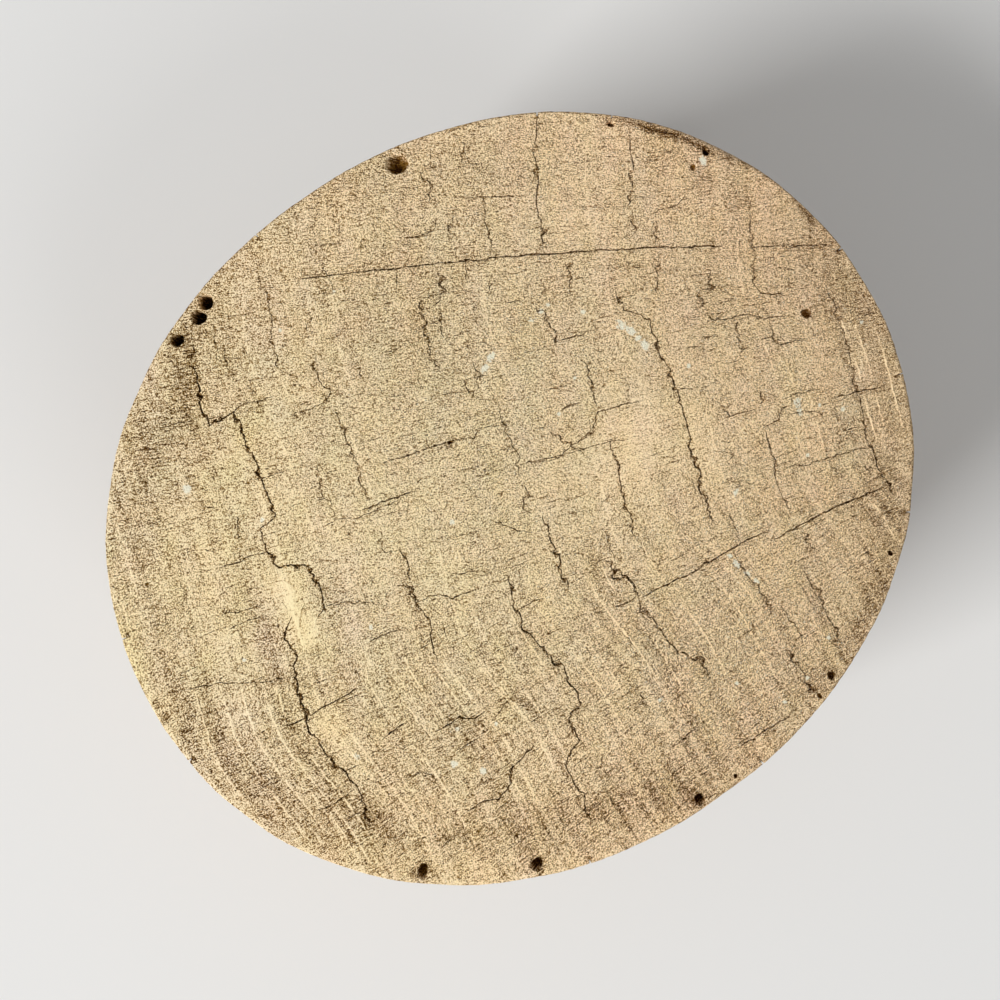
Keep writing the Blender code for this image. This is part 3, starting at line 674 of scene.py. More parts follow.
# Hard late wood stands proud of the worn tip as thin pale lines: the ring in millimetres, the bearings
# from and to, and how strongly it shows.
PROUD_RINGS = [
    (277.8, 23, 34, 0.7), (280.0, 14, 30, 0.8), (288.3, 23, 32, 1.0), (291.3, 22, 35, 0.9),
    (293.2, 28, 35, 0.9), (296.2, 22, 30, 0.9), (300.5, 22, 30, 1.0), (306.4, 21, 29, 0.9),
    (313.8, 13, 18, 0.6), (317.6, 17, 23, 0.7), (274.8, 29, 34, 0.8), (268.0, 24, 33, 0.8),
    (263.6, 24, 29, 0.8), (258.5, 23, 30, 0.9), (253.4, 24, 34, 0.9), (250.7, 25, 34, 0.8),
    (243.9, 24, 34, 0.8), (240.2, 20, 33, 0.6), (232.6, 24, 29, 0.7), (225.6, 28, 34, 0.7),
    (221.8, 28, 34, 0.7), (213.6, 24, 35, 0.7), (209.5, 24, 35, 0.8), (204.9, 18, 23, 0.6),
    (199.0, 24, 34, 0.8), (189.4, 28, 36, 0.8), (185.4, 25, 34, 0.7), (177.5, 17, 24, 0.7),
    (171.3, -3, 3, 0.3), (173.6, -3, 2, 0.3), (156.5, 12, 24, 0.7), (153.6, 17, 24, 0.6),
    (141.5, 12, 24, 0.9), (138.9, 12, 23, 0.9), (134.9, 14, 24, 0.9), (189.6, 5, 18, 0.5),
    (217.3, 5, 16, 0.5), (251.2, -2, 12, 0.5), (256.0, 12, 18, 0.6), (271.3, 5, 18, 0.6),
    (265.8, 5, 12, 0.5), (244.5, 18, 30, 0.6), (192.7, -3, 4, 0.4), (159.9, 5, 18, 0.6),
    (150.2, 28, 33, 0.7),
]
PROUD_STEP = 0.0014
PROUD_HALF = 0.00040
PROUD_RISE = 0.00011
PROUD_WAVER = 0.00008
# Spots of pale filler or paint: place, half width and half height in pixels, slant in the picture.
FLECKS = [
    ((454, 764), 3.4, 3.4, 0), ((483, 771), 3.0, 3.0, 0), ((187, 489), 4.0, 4.0, 0),
    ((371, 627), 2.4, 2.4, 0), ((357, 757), 3.0, 2.2, 20), ((457, 729), 2.0, 2.0, 0),
    ((496, 724), 1.8, 1.8, 0), ((829, 638), 2.2, 2.0, 0), ((807, 678), 2.0, 2.0, 0),
    ((785, 702), 1.8, 1.8, 0), ((737, 683), 1.8, 1.8, 0), ((689, 366), 2.0, 2.0, 0),
    ((485, 368), 2.6, 5.0, -35), ((491, 357), 3.2, 5.6, -35), ((621, 326), 6.4, 4.6, -28),
    ((631, 331), 5.4, 3.4, -35), ((645, 345), 3.4, 4.8, 20), ((638, 338), 3.0, 2.4, 0),
    ((541, 311), 3.2, 2.4, 30), ((531, 320), 2.4, 1.8, 0), ((548, 305), 2.0, 1.6, 0),
    ((583, 312), 2.4, 1.8, 10), ((737, 564), 5.4, 2.6, -50), ((747, 573), 3.8, 2.2, -50),
    ((730, 556), 2.6, 2.0, 0), ((757, 581), 2.8, 1.6, -50), ((798, 402), 3.2, 5.4, 0),
    ((800, 412), 2.4, 3.2, 0), ((843, 409), 2.2, 2.0, 0), ((820, 405), 1.8, 1.8, 0),
    ((703, 161), 2.6, 5.0, 20), ((559, 414), 1.8, 1.8, 0), ((452, 522), 2.4, 2.4, 0),
    ((736, 492), 2.0, 3.6, -30), ((808, 455), 1.8, 1.8, 0), ((862, 322), 1.8, 1.6, 0),
    ((575, 378), 1.8, 1.5, 0), ((262, 520), 2.0, 2.0, 0), ((660, 700), 2.0, 1.6, 0),
    ((244, 660), 1.8, 1.6, 0), ((334, 292), 1.8, 1.6, 0), ((280, 330), 1.6, 1.6, 0),
]
FLECK_SPREAD = 1.5
FLECK_SIDES = 10
# A fleck's rings: their share of its size, and how strongly the filler shows there.
FLECK_RINGS = ((1.0, 0.0), (0.5, 0.8), (0.15, 1.0))
# How far a nail hole's ragged edge reaches past its size, and how far cracks, proud rings and the plain
# field keep from the rim and from that edge.
RAGGED_REACH = 1.08
CRACK_RIM_ROOM = 0.0003
CRACK_HOLE_ROOM = 0.0001
PROUD_RIM_ROOM = 0.0012
PROUD_HOLE_ROOM = 0.0006
FIELD_HOLE_ROOM = 0.0002
MAP_CELL = 0.0003
MAP_CELLS = 700
MAP_REACH = 0.0004
MAP_WIDTH_UNIT = 0.0002
STRIP_POINTS = 300
STRIP_ROOM = 0.0015
RELIEF_FADE = 0.004


def field_points():
    """An even triangular lattice over the tip, inside the rim's first row."""
    down = FIELD_SPACING * math.sqrt(3) / 2
    rows = int(TIP_HALF[1] / down) + 1
    columns = int(TIP_HALF[0] / FIELD_SPACING) + 1
    j, i = np.meshgrid(np.arange(-rows, rows + 1), np.arange(-columns, columns + 1), indexing="ij")
    return np.stack([(i + 0.5 * (j % 2)).ravel() * FIELD_SPACING, j.ravel() * down], axis=-1)


def margin(points):
    """How far points lie inside the rim's first row: the difference of their distances from the middle,
    along the line from the middle."""
    degrees = oval_angle(*points.T)
    edge = np.interp(degrees, angles, np.hypot(*side_rows[0, :, :2].T), period=2 * np.pi)
    return edge - np.hypot(*points.T)


def map_cells(points):
    """The numbers of the map's cell at each point; its middle cell lies at the tip's middle."""
    return (points[:, :2] / MAP_CELL + MAP_CELLS / 2).astype(int)


def crack_map(reach, power):
    """A map of how near the cracks are: each crack's points are dropped into a grid by their width, and
    spread by a Gaussian of the given reach."""
    grid = np.zeros((MAP_CELLS, MAP_CELLS))
    for centre, _, half, _ in cracks:
        np.add.at(grid, tuple(map_cells(centre).T), (half / MAP_WIDTH_UNIT) ** power)
    rate = np.fft.fftfreq(MAP_CELLS, MAP_CELL)
    blur = np.exp(-2 * (np.pi * reach) ** 2 * (rate[:, None] ** 2 + rate[None, :] ** 2))
    spread = np.fft.ifft2(np.fft.fft2(grid) * blur).real
    return spread * 2 * np.pi * (reach / MAP_CELL) ** 2


def read_map(grid, points):
    """The map's value at the points, from the nearest cell."""
    return grid[tuple(np.clip(map_cells(points), 0, MAP_CELLS - 1).T)]


def crack_depth(points):
    """How deep the cracks cut at the points: at most each crack's depth on its centre line, falling
    straight to nothing at its half width; the deepest crack counts. Points and crack legs are taken in
    narrow strips of the tip, so that only near ones are compared."""
    starts = np.concatenate([centre[:-1] for centre, _, _, _ in cracks])
    ends = np.concatenate([centre[1:] for centre, _, _, _ in cracks])
    halves = np.concatenate([np.stack([half[:-1], half[1:]], -1) for _, _, half, _ in cracks])
    depths = np.concatenate([np.stack([depth[:-1], depth[1:]], -1) for _, _, _, depth in cracks])
    legs = ends - starts
    squares = (legs**2).sum(-1)
    sunk = np.zeros(len(points))
    order = np.argsort(points[:, 0])
    for chunk in np.array_split(order, max(1, len(order) // STRIP_POINTS)):
        low = points[chunk, 0].min() - STRIP_ROOM
        high = points[chunk, 0].max() + STRIP_ROOM
        near = np.maximum(starts[:, 0], ends[:, 0]) > low
        near &= np.minimum(starts[:, 0], ends[:, 0]) < high
        offset = points[chunk, None, :] - starts[near]
        share = np.clip((offset * legs[near]).sum(-1) / squares[near], 0, 1)
        away = np.linalg.norm(offset - share[..., None] * legs[near], axis=-1)
        half = halves[near, 0] + (halves[near, 1] - halves[near, 0]) * share
        depth = depths[near, 0] + (depths[near, 1] - depths[near, 0]) * share
        sunk[chunk] = (depth * np.clip(1 - away / half, 0, 1)).max(-1, initial=0)
    return sunk


RIM, FIELD, CRACK, PROUD, HOLE, FLECK = range(6)
layout = [side_rows[0, :, :2]]
kind = [np.full(len(angles), RIM)]
lines = []


def add_points(points, code):
    """Adds points of one kind to the tip's layout and returns the number of the first."""
    first = sum(len(part) for part in layout)
    layout.append(np.asarray(points))
    kind.append(np.full(len(points), code))
    return first


def add_chain(first, count, closed=False):
    """Adds the lines that join a run of points in order."""
    chain = np.arange(first, first + count)
    lines.append(np.stack([chain[:-1], chain[1:]], axis=-1))
    if closed:
        lines.append(np.array([[first + count - 1, first]]))


def oval_ring(pixel, half_width, half_height, slant, sides, seed, roughness):
    """A ragged oval round a pixel, as points on the tip: its half sizes in pixels, turned by its slant."""
    turn = np.linspace(0, 2 * np.pi, sides, endpoint=False)
    ragged = 1 + roughness * waves(turn, 0 * turn, 1.5, seed)
    along = half_width * PIXEL * ragged * np.cos(turn)
    across = half_height * PIXEL * ragged * np.sin(turn)
    heading = math.radians(slant) - PHOTO_TURN
    x = along * math.cos(heading) - across * math.sin(heading)
    y = along * math.sin(heading) + across * math.cos(heading)
    return np.stack([x, y], axis=-1)


def in_holes(points, room):
    """Which points lie in a nail hole, its ragged edge included, or closer to it than the room."""
    inside = np.zeros(len(points), bool)
    for pixel, half_width, half_height, *_ in NAIL_HOLES.values():
        reach = max(half_width, half_height) * PIXEL * HOLE_RINGS[0][0] * RAGGED_REACH
        inside |= away_from(points, pixel) < reach + room
    return inside


def unbroken(keep, fewest):
    """The first and last numbers of each run of kept points that has at least the fewest."""
    cuts = np.flatnonzero(np.diff(np.concatenate([[0], keep.astype(int), [0]])))
    return [(first, last) for first, last in zip(cuts[::2], cuts[1::2]) if last - first >= fewest]


trimmed = []
for centre, side, half, depth in cracks:
    keep = (margin(centre) > CRACK_RIM_ROOM) & ~in_holes(centre, CRACK_HOLE_ROOM)
    for first, last in unbroken(keep, 4):
        span = slice(first, last)
        trimmed.append((centre[span], side[span], half[span], depth[span]))
cracks = trimmed
for centre, side, half, depth in cracks:
    for shift in (-1, 0, 1):
        add_chain(add_points(centre + side * (half * shift)[:, None], CRACK), len(centre))

closeness = crack_map(MAP_REACH, 0)
open_cracks = crack_map(MAP_REACH, 2)
proud_height = []
for ring, start, end, strength in PROUD_RINGS:
    count = int(math.radians(end - start) * ring / 1000 / PROUD_STEP)
    degrees = np.linspace(start, end, count)
    middle = ring / 1000 + PROUD_WAVER * dice.normal(size=count)
    line = in_grain(middle, degrees)
    free = (margin(line) > PROUD_RIM_ROOM) & ~in_holes(line, PROUD_HOLE_ROOM)
    free &= read_map(open_cracks, line) < 0.35
    for first, last in unbroken(free, 3):
        ends = np.sin(np.linspace(0.15, np.pi - 0.15, last - first)) ** 0.5
        for shift, share in ((-1, 0), (0, 1), (1, 0)):
            row = in_grain(middle[first:last] + shift * PROUD_HALF, degrees[first:last])
            number = add_points(row, PROUD)
            add_chain(number, last - first)
            swell = dice.uniform(0.75, 1, last - first)
            proud_height.append((number, share * strength * ends * swell))

hole_rows = []
for number, hole in enumerate(NAIL_HOLES.values()):
    pixel, half_width, half_height, slant, depth, lean, towards = hole
    heading = math.radians(towards) - PHOTO_TURN
    lean_way = math.tan(math.radians(lean)) * np.array([math.cos(heading), math.sin(heading)])
    edge = oval_ring(pixel, half_width, half_height, slant, HOLE_SIDES, number + 60, 0.10)
    for share, down in HOLE_RINGS:
        first = add_points(on_tip(pixel) + edge * share, HOLE)
        add_chain(first, HOLE_SIDES, closed=True)
        hole_rows.append((first, np.array([*(down * depth * lean_way), -down * depth]), down))

fleck_rows = []
for number, (pixel, half_width, half_height, slant) in enumerate(FLECKS):
    sizes = half_width * FLECK_SPREAD, half_height * FLECK_SPREAD
    edge = oval_ring(pixel, *sizes, slant, FLECK_SIDES, number + 90, 0.15)
    for share, strength in FLECK_RINGS:
        fleck_rows.append((add_points(on_tip(pixel) + edge * share, FLECK), strength))

# The plain field keeps clear of all these, so that no sliver of a triangle lies between.
proud_places = np.concatenate([part for part, code in zip(layout, kind) if code[0] == PROUD])
proud_map = np.zeros((MAP_CELLS, MAP_CELLS), bool)
proud_map[tuple(map_cells(proud_places).T)] = True
field = field_points()
clear = (margin(field) > FIELD_SPACING * 0.5) & (read_map(closeness, field) < 0.5)
clear &= ~in_holes(field, FIELD_HOLE_ROOM) & ~read_map(proud_map, field)
for pixel, half_width, half_height, _ in FLECKS:
    clear &= away_from(field, pixel) > max(half_width, half_height) * PIXEL * FLECK_SPREAD
add_points(field[clear], FIELD)

layout = np.concatenate(layout)
kind = np.concatenate(kind)
lines = np.concatenate(lines)
MILLI = 1000.0
INSIDE_THE_RIM = 1
MERGE_WITHIN = 1e-5
flat, _, triangles, came_from, _, _ = delaunay_2d_cdt(
    [Vector(point) for point in (layout * MILLI).tolist()],
    lines.tolist(),
    [list(range(len(angles)))],
    INSIDE_THE_RIM,
    MERGE_WITHIN,
)
flat = np.array([tuple(point) for point in flat]) / MILLI
source = np.array([min(found) if found else -1 for found in came_from])

number_of = np.full(len(layout), -1)
number_of[source[source >= 0]] = np.flatnonzero(source >= 0)


def members_of(first, count):
    """The triangulation's numbers for a run of the layout's points, and which of them it kept."""
    members = number_of[first : first + count]
    return members[members >= 0], members >= 0


on_crack = (source < 0) | (kind[source] == CRACK)
on_rim = (source >= 0) & (kind[source] == RIM)
sunk = np.zeros(len(flat))
sunk[on_crack] = crack_depth(flat[on_crack])
proud = np.zeros(len(flat))
for first, heights in proud_height:
    members, kept = members_of(first, len(heights))
    proud[members] = heights[kept]
x, y = flat.T
ring_wave = waves(ring_distance(x, y), 0 * x, 0.0035, 23) * np.clip((bearing(x, y) - 18) / 8, 0.25, 1)
swelling = 0.5 * waves(x, y, 0.03, 21) + 0.35 * waves(x, y, 0.006, 22) + 0.35 * ring_wave
fade = np.clip(margin(flat) / RELIEF_FADE, 0, 1)
level = BLOCK_HEIGHT - RELIEF * (1 + np.clip(swelling, -0.4, 1.2) * 0.5 * fade)
tip = np.stack([x, y, level + PROUD_RISE * proud - sunk], axis=-1)
hollow = np.zeros(len(tip))
# How deep a point lies in a nail hole; the finish paints the hole darker with it, as painted shade.
for first, shift, down in hole_rows:
    members, _ = members_of(first, HOLE_SIDES)
    tip[members] += shift
    hollow[members] = max(down, 0.01)


# The block's mesh is one closed skin, as the real one is one piece of wood: the tip's triangles share the
# rim's first row with the wall's grid, and a fan closes the end of the bore.
row_count = len(side_rows) + len(under_rows)
column_count = len(angles)
grid = np.concatenate([side_rows, under_rows]).reshape(-1, 3)
tip_number = np.empty(len(tip), int)
tip_number[on_rim] = source[on_rim]
tip_number[~on_rim] = len(grid) + np.arange((~on_rim).sum())
points = np.concatenate([grid, tip[~on_rim], bore_end[None, :]])
down, across = np.meshgrid(np.arange(row_count - 1), np.arange(column_count), indexing="ij")
corner = down * column_count + across
beside = down * column_count + (across + 1) % column_count
quads = np.stack([corner, corner + column_count, beside + column_count, beside], -1).reshape(-1, 4)
last = (row_count - 1) * column_count + np.arange(column_count)
fan = np.stack([last, np.full(column_count, len(points) - 1), np.roll(last, -1)], axis=-1)
cap = tip_number[np.array(triangles)]


def tip_value(values, elsewhere=0.0):
    """A value of the tip's points spread to all of the block's points, with one value elsewhere."""
    spread = np.full(len(points), elsewhere)
    spread[tip_number] = values
    return spread


# What the finish needs to know at each point: where it lies in the grain, how deep it is in a crack and how
# near one, whether it is a proud ring, pale filler, a nail hole or wood browned by hands, and how bright,
# golden and rough the wood is there. Patches: place, two reaches in pixels, heading, and levels of 255 they
# add; besides the wood's own tone, some of them paint light and shade: the rim's highlight, broad light in
# the middle and shade towards the bottom and the right.
PATCHES = {
    "pale middle left": ((330, 520), 110, 60, 20, 14),
    "pale middle right": ((640, 430), 70, 80, 0, 12),
    "pale top": ((590, 180), 45, 80, 0, 10),
    # The pale heart and pale centre are partly painted light: the middle painted brighter where the light
    # fell strongest.
    "pale heart": ((540, 485), 130, 60, 0, 6),
    "pale right": ((800, 430), 60, 70, 0, 12),
    "pale centre": ((590, 440), 150, 100, 0, 8),
    "pale lower middle": ((455, 592), 110, 42, 0, 12),
    "pale left middle": ((240, 665), 70, 36, 0, 9),
    "pale above the long check": ((570, 225), 120, 34, 0, 8),
    "gold spot by the left crack": ((288, 596), 15, 34, 22, 24),
    "gold spot below it": ((304, 632), 17, 20, 0, 26),
    "gold streak below the crossing": ((326, 728), 20, 30, 30, 24),
    "pale streak below it": ((350, 770), 12, 30, 30, 14),
    "pale left of the crack": ((285, 440), 16, 60, 8, 10),
    "gold by the upper left crack": ((238, 450), 12, 36, -20, 14),
    # The gold left rim is partly a painted highlight, where the rounded edge catches the light.
    "gold left rim": ((124, 668), 9, 40, 22, 22),
    "grey left of the lower crack": ((268, 640), 11, 30, 15, -10),
    "grey right of the gold": ((338, 610), 15, 36, 10, -6),
    "torn wood by the bottom left pit": ((425, 868), 9, 9, -16, -44),
    "torn wood by the bottom pit": ((536, 862), 10, 9, -30, -36),
    "torn wood by the lower pit": ((698, 797), 10, 8, -40, -36),
    "torn wood by the right pit": ((829, 674), 9, 7, -50, -36),
    "torn spot on the left rim": ((156, 705), 4, 5, 0, -90),
    "torn spot below it": ((166, 717), 6, 4, 40, -90),
    "third torn spot": ((181, 733), 5, 3, 40, -60),
    # The pale lower left rim and pale bottom rim are partly a painted highlight along the lit edge.
    "pale lower left rim": ((230, 815), 18, 70, 50, 8),
    "pale bottom rim": ((440, 866), 60, 9, 0, 14),
    "pale in the left band": ((215, 640), 26, 55, 14, 8),
    "dark left patch": ((150, 455), 26, 75, -10, -24),
    "dark left edge": ((185, 385), 16, 45, -12, -16),
    "dark by the twin holes": ((192, 335), 14, 26, -30, -22),
    "dark streak along the left crack": ((283, 665), 9, 50, 16, -10),
    "dark streak lower": ((330, 765), 10, 48, 38, -20),
    "dark clump": ((375, 822), 22, 15, -35, -30),
    "dark lower left band": ((275, 790), 16, 50, 48, -24),
    "dark lower left patch": ((210, 725), 16, 45, 35, -14),
    "dark bottom band": ((465, 835), 75, 11, 4, -12),
    "dark bottom left rim": ((330, 830), 30, 14, -35, -12),
    "dark under the middle": ((450, 745), 40, 32, 0, -9),
    "dark upper middle": ((425, 335), 36, 34, 0, -9),
    "dark smear in the middle": ((500, 458), 40, 7, 40, -22),
    "dark right upper": ((845, 285), 60, 44, -55, -24),
    "dark right rim": ((888, 440), 14, 130, 4, -20),
    "dark right rim spot": ((852, 430), 14, 18, 0, -18),
    "dark right streaks": ((872, 515), 22, 30, 20, -24),
    # The dark lower right, dark bottom right and dark bottom rim are partly painted shade: darker where the
    # light fell off towards the bottom and the right.
    "dark lower right": ((770, 640), 90, 60, 40, -8),
    "dark bottom right": ((690, 765), 90, 34, 35, -13),
    "dark upper right": ((715, 300), 26, 16, 0, -8),
    "dark lower right rim": ((872, 604), 14, 44, -22, -34),
    "dark right bottom rim": ((800, 700), 20, 60, -40, -12),
    "dark bottom rim": ((610, 810), 150, 26, 14, -17),
    "dark upper left rim": ((330, 190), 90, 14, 33, -15),
    "dark top rim": ((700, 168), 60, 14, -28, -14),
    # The brown strip along the upper right rim is patina, darkened further by painted shade on the rim's
    # side away from the light.
    "brown rim, patina and painted shade": ((660, 131), 44, 3.5, -17, -80),
    "brown rim to the right, patina and painted shade": ((716, 149), 28, 4.5, -28, -90),
    "nibbled right rim": ((805, 212), 16, 3, -48, -60),
    "ring streak one": ((618, 660), 7, 60, 28, -13),
    "ring streak two": ((655, 650), 7, 60, 28, -9),
    "ring streak three": ((575, 640), 6, 60, 26, -8),
    "ring streak four": ((690, 690), 8, 60, 30, -8),
    "ring streak five": ((545, 620), 6, 50, 24, -6),
    "ring streak six": ((700, 440), 8, 70, 14, 7),
    "stain by the torn fibres": ((532, 706), 26, 4, -16, -26),
    "dark knot": ((450, 442), 5, 4, 0, -50),
    "fibre knot": ((660, 478), 4, 6, -30, -34),
}


# Where the wood is more golden, or with a minus greyer and mauve, in the same form as the patches.
HUES = {
    "gold spot by the left crack": ((288, 596), 16, 36, 22, 1.4),
    "gold spot below it": ((304, 636), 20, 28, 0, 1.4),
    "gold streak below the crossing": ((326, 728), 22, 34, 30, 2.0),
    "gold by the upper left crack": ((238, 450), 14, 40, -20, 1.6),
    "gold left rim": ((124, 668), 14, 60, 22, 3.2),
    "gold left": ((210, 560), 60, 110, 0, 0.8),
    "gold bottom": ((400, 860), 100, 16, -4, 1.2),
    "golden middle": ((500, 560), 160, 110, 0, 0.5),
    "grey left of the lower crack": ((268, 640), 12, 32, 15, -3.0),
    "grey right of the gold": ((345, 610), 20, 44, 10, -2.6),
    "grey lower left": ((240, 760), 50, 70, 40, -1.4),
    "grey left edge": ((150, 470), 30, 90, -8, -1.6),
    "grey upper left": ((260, 300), 60, 60, 0, -1.0),
    "warm right": ((790, 520), 120, 240, 0, 1.0),
}


# How much rougher the end grain is than elsewhere, or with a minus smoother, in the same form.
ROUGHNESS = {
    "smooth upper left": ((250, 320), 130, 130, 0, -0.20),
    "smooth left": ((190, 560), 90, 120, 0, -0.12),
    "smooth bottom": ((420, 820), 170, 60, 0, -0.16),
    "rough centre": ((540, 430), 150, 150, 0, 0.24),
    "rough right": ((800, 420), 110, 190, 0, 0.32),
    "rough lower right": ((730, 670), 130, 100, 0, 0.34),
    "rough top": ((560, 200), 160, 70, 0, 0.16),
}


def patches_at(points, patches):
    """The patches' sum at the points: each is a soft oval of its two reaches, turned by its heading."""
    total = np.zeros(len(points))
    for pixel, wide, tall, heading, levels in patches.values():
        off = (points[:, :2] - on_tip(pixel)) / PIXEL
        turn = math.radians(heading) - PHOTO_TURN
        along = off[:, 0] * math.cos(turn) + off[:, 1] * math.sin(turn)
        across = off[:, 1] * math.cos(turn) - off[:, 0] * math.sin(turn)
        total += levels * np.exp(-((along / wide) ** 2 + (across / tall) ** 2) / 1.3)
    return total


x, y, z = points.T
grain = np.stack([ring_distance(x, y), ray_distance(x, y), z], axis=-1)
fleck = np.zeros(len(tip))
for first, strength in fleck_rows:
    members, _ = members_of(first, FLECK_SIDES)
    fleck[members] = strength
# Dirt gathers close to every crack, and a little more widely where many open ones run together.
close_by = read_map(crack_map(0.0007, 1.5), tip)
round_about = read_map(crack_map(0.003, 2), tip)
near_crack = 0.5 * close_by + 0.04 * round_about
golden = 1.2 + patches_at(points, HUES) + 0.8 * waves(x, y, 0.012, 35)
# It is redder to the picture's right and along its upper and lower rims.
right = x * math.cos(PHOTO_TURN) - y * math.sin(PHOTO_TURN)
up = x * math.sin(PHOTO_TURN) + y * math.cos(PHOTO_TURN)
ruddy = 2.5 * np.clip((right + 0.01) / 0.07, 0, 1) + 1.6 * np.clip((up - 0.03) / 0.05, 0, 1) + 0.1
ruddy += 1.2 * np.clip((-up - 0.04) / 0.04, 0, 1) + 0.5 * waves(x, y, 0.016, 36)
# The underside is older looking: scuffed brown near its edge, with an iron stain round the plate.
underneath = z < BLOCK_HEIGHT / 3
from_plate = np.hypot(x, y) - plate_high[0]
iron_stain = underneath * np.clip(1 - from_plate / 0.007, 0, 1)
outward = np.hypot(x / BASE_HALF[0], y / BASE_HALF[1])
edge_scuff = underneath * np.clip((outward - 0.86) / 0.12, 0, 1)
ruddy += 2.0 * underneath
# Rings show most at the lower left, where they bend, and on both outer sides.
banded = np.clip((bearing(x, y) - 16) / 8, 0.3, 1)
banded = np.maximum(banded, np.clip((grain[:, 0] - 0.255) / 0.03, 0, 0.9))
banded = np.maximum(banded, np.clip((0.180 - grain[:, 0]) / 0.03, 0, 0.7))
# The rim is browned by hands, but on its lit lower left it is painted pale: a painted highlight where the
# rounded edge catches the light.
RIM_HIGHLIGHT_WAY = 225
UNDERSIDE_HANDLED = 0.30


def rim_highlight(way):
    """How much painted highlight the rim gets at an angle of the oval, where its rounded edge catches the
    light: most towards the lit way of the picture, falling off with the cosine of the angle between."""
    turned = np.degrees(way) + math.degrees(PHOTO_TURN)
    return np.clip(np.cos(np.radians(turned - RIM_HIGHLIGHT_WAY)) * 2.2 - 0.4, 0, 1)


side_count = len(side_rows)
side_points = slice(0, side_count * column_count)
handled_and_rim_highlight = np.zeros(len(points))
down_rim = np.clip(np.arange(side_count) / 3, 0, 1)[:, None]
# Brown patina down the rim's rounding, less a painted highlight on its lit lower left, where the value
# drops below nothing and the rim turns pale.
browned = down_rim * (1.1 - 1.8 * rim_highlight(angles))
browned[RIM_ROWS:] = 1
handled_and_rim_highlight[side_points] = browned.ravel()
handled_and_rim_highlight[side_points.stop : len(grid)] = UNDERSIDE_HANDLED
handled_and_rim_highlight += (0.7 * edge_scuff + 0.9 * iron_stain) * (handled_and_rim_highlight == UNDERSIDE_HANDLED)
# Cracks, and the checks down the wall, are painted darker with their depth: painted shade inside them, with
# some darker wood.
crack_shade = tip_value(np.clip(sunk / 0.0010, 0, 1))
crack_shade[side_points] = np.maximum(crack_shade[side_points], check_cut.ravel())
# Close to the rim on its lit lower left, the tip is painted paler too: the same painted highlight.
tip_rim_highlight = rim_highlight(oval_angle(*tip[:, :2].T))
handled_and_rim_highlight[tip_number] -= tip_rim_highlight * np.clip(1 - margin(tip[:, :2]) / 0.0008, 0, 1) * 0.9
facts = {
    "crack": crack_shade,
    "soil": tip_value(np.clip(near_crack, 0, 1)),
    "proud": tip_value(proud),
    "fleck": tip_value(fleck),
    "hollow": tip_value(hollow),
    "handled_and_rim_highlight": handled_and_rim_highlight,
    "patch": tip_value(patches_at(tip, PATCHES), -12.0),
    "banded": banded,
    "roughened": 1 + patches_at(points, ROUGHNESS),
    "golden": golden,
    "ruddy": ruddy,
}
SHARP_ANGLE = 38


def add_object(name, data):
    """An object for a mesh, lamp or camera, put in the scene."""
    thing = bpy.data.objects.new(name, data)
    bpy.context.scene.collection.objects.link(thing)
    return thing


block_mesh = bpy.data.meshes.new("oval_block")
block_mesh.from_pydata(points.tolist(), [], quads.tolist() + fan.tolist() + cap.tolist())
for name, values in facts.items():
    block_mesh.attributes.new(name, "FLOAT", "POINT").data.foreach_set("value", values)
block_mesh.attributes.new("grain", "FLOAT_VECTOR", "POINT").data.foreach_set("vector", grain.ravel())
block_mesh.shade_smooth()
block_mesh.set_sharp_from_angle(angle=math.radians(SHARP_ANGLE))
block = add_object("oval_block", block_mesh)
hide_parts("crown_block")
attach(block, "root")


# The block's finish: raw, dry end grain on the tip and the underside, and a wall browned and rubbed smooth
# by hands and cloth. It is bare wood, with no paint or lacquer, and shader nodes build its look.
def set_inputs(tree, node, inputs):
    """Sets or links a node's inputs, given by name, each a value or another node's output."""
    for name, value in inputs.items():
        if isinstance(value, bpy.types.NodeSocket):
            tree.links.new(value, node.inputs[name])
        else:
            node.inputs[name].default_value = value
    return node


def add_node(tree, kind, inputs, **settings):
    """A shader node with its settings and its inputs."""
    node = tree.nodes.new("ShaderNode" + kind)
    for name, value in settings.items():
        setattr(node, name, value)
    return set_inputs(tree, node, inputs)


def new_material(name):
    """A material with its node tree and its Principled shader."""
    material = bpy.data.materials.new(name)
    material.use_nodes = True
    return material, material.node_tree, material.node_tree.nodes["Principled BSDF"]


def vector_math(tree, operation, first, second, output=0):
    """The output of a Vector Math node on two vectors."""
    return add_node(tree, "VectorMath", {0: first, 1: second}, operation=operation).outputs[output]


def calc(tree, operation, first, second=0.0, third=0.0, clamp=False):
    """The output of a Math node on up to three values or outputs."""
    inputs = {0: first, 1: second, 2: third}
    return add_node(tree, "Math", inputs, operation=operation, use_clamp=clamp).outputs[0]


def attribute(tree, name, output="Fac"):
    """The output of an Attribute node that reads the piece's own attribute."""
    return add_node(tree, "Attribute", {}, attribute_name=name).outputs[output]


def new_group(name, inputs, outputs):
    """A shader node group with named float or vector sockets, and its input and output nodes."""
    group = bpy.data.node_groups.new(name, "ShaderNodeTree")
    for label, kind, default in inputs:
        socket = group.interface.new_socket(label, in_out="INPUT", socket_type="NodeSocket" + kind)
        if kind == "Float":
            socket.default_value = default
    for label, kind in outputs:
        group.interface.new_socket(label, in_out="OUTPUT", socket_type="NodeSocket" + kind)
    return group, group.nodes.new("NodeGroupInput"), group.nodes.new("NodeGroupOutput")


def use_group(tree, group, inputs):
    """A node in the tree that shows the group, with its inputs set or linked."""
    node = tree.nodes.new("ShaderNodeGroup")
    node.node_tree = group
    return set_inputs(tree, node, inputs)


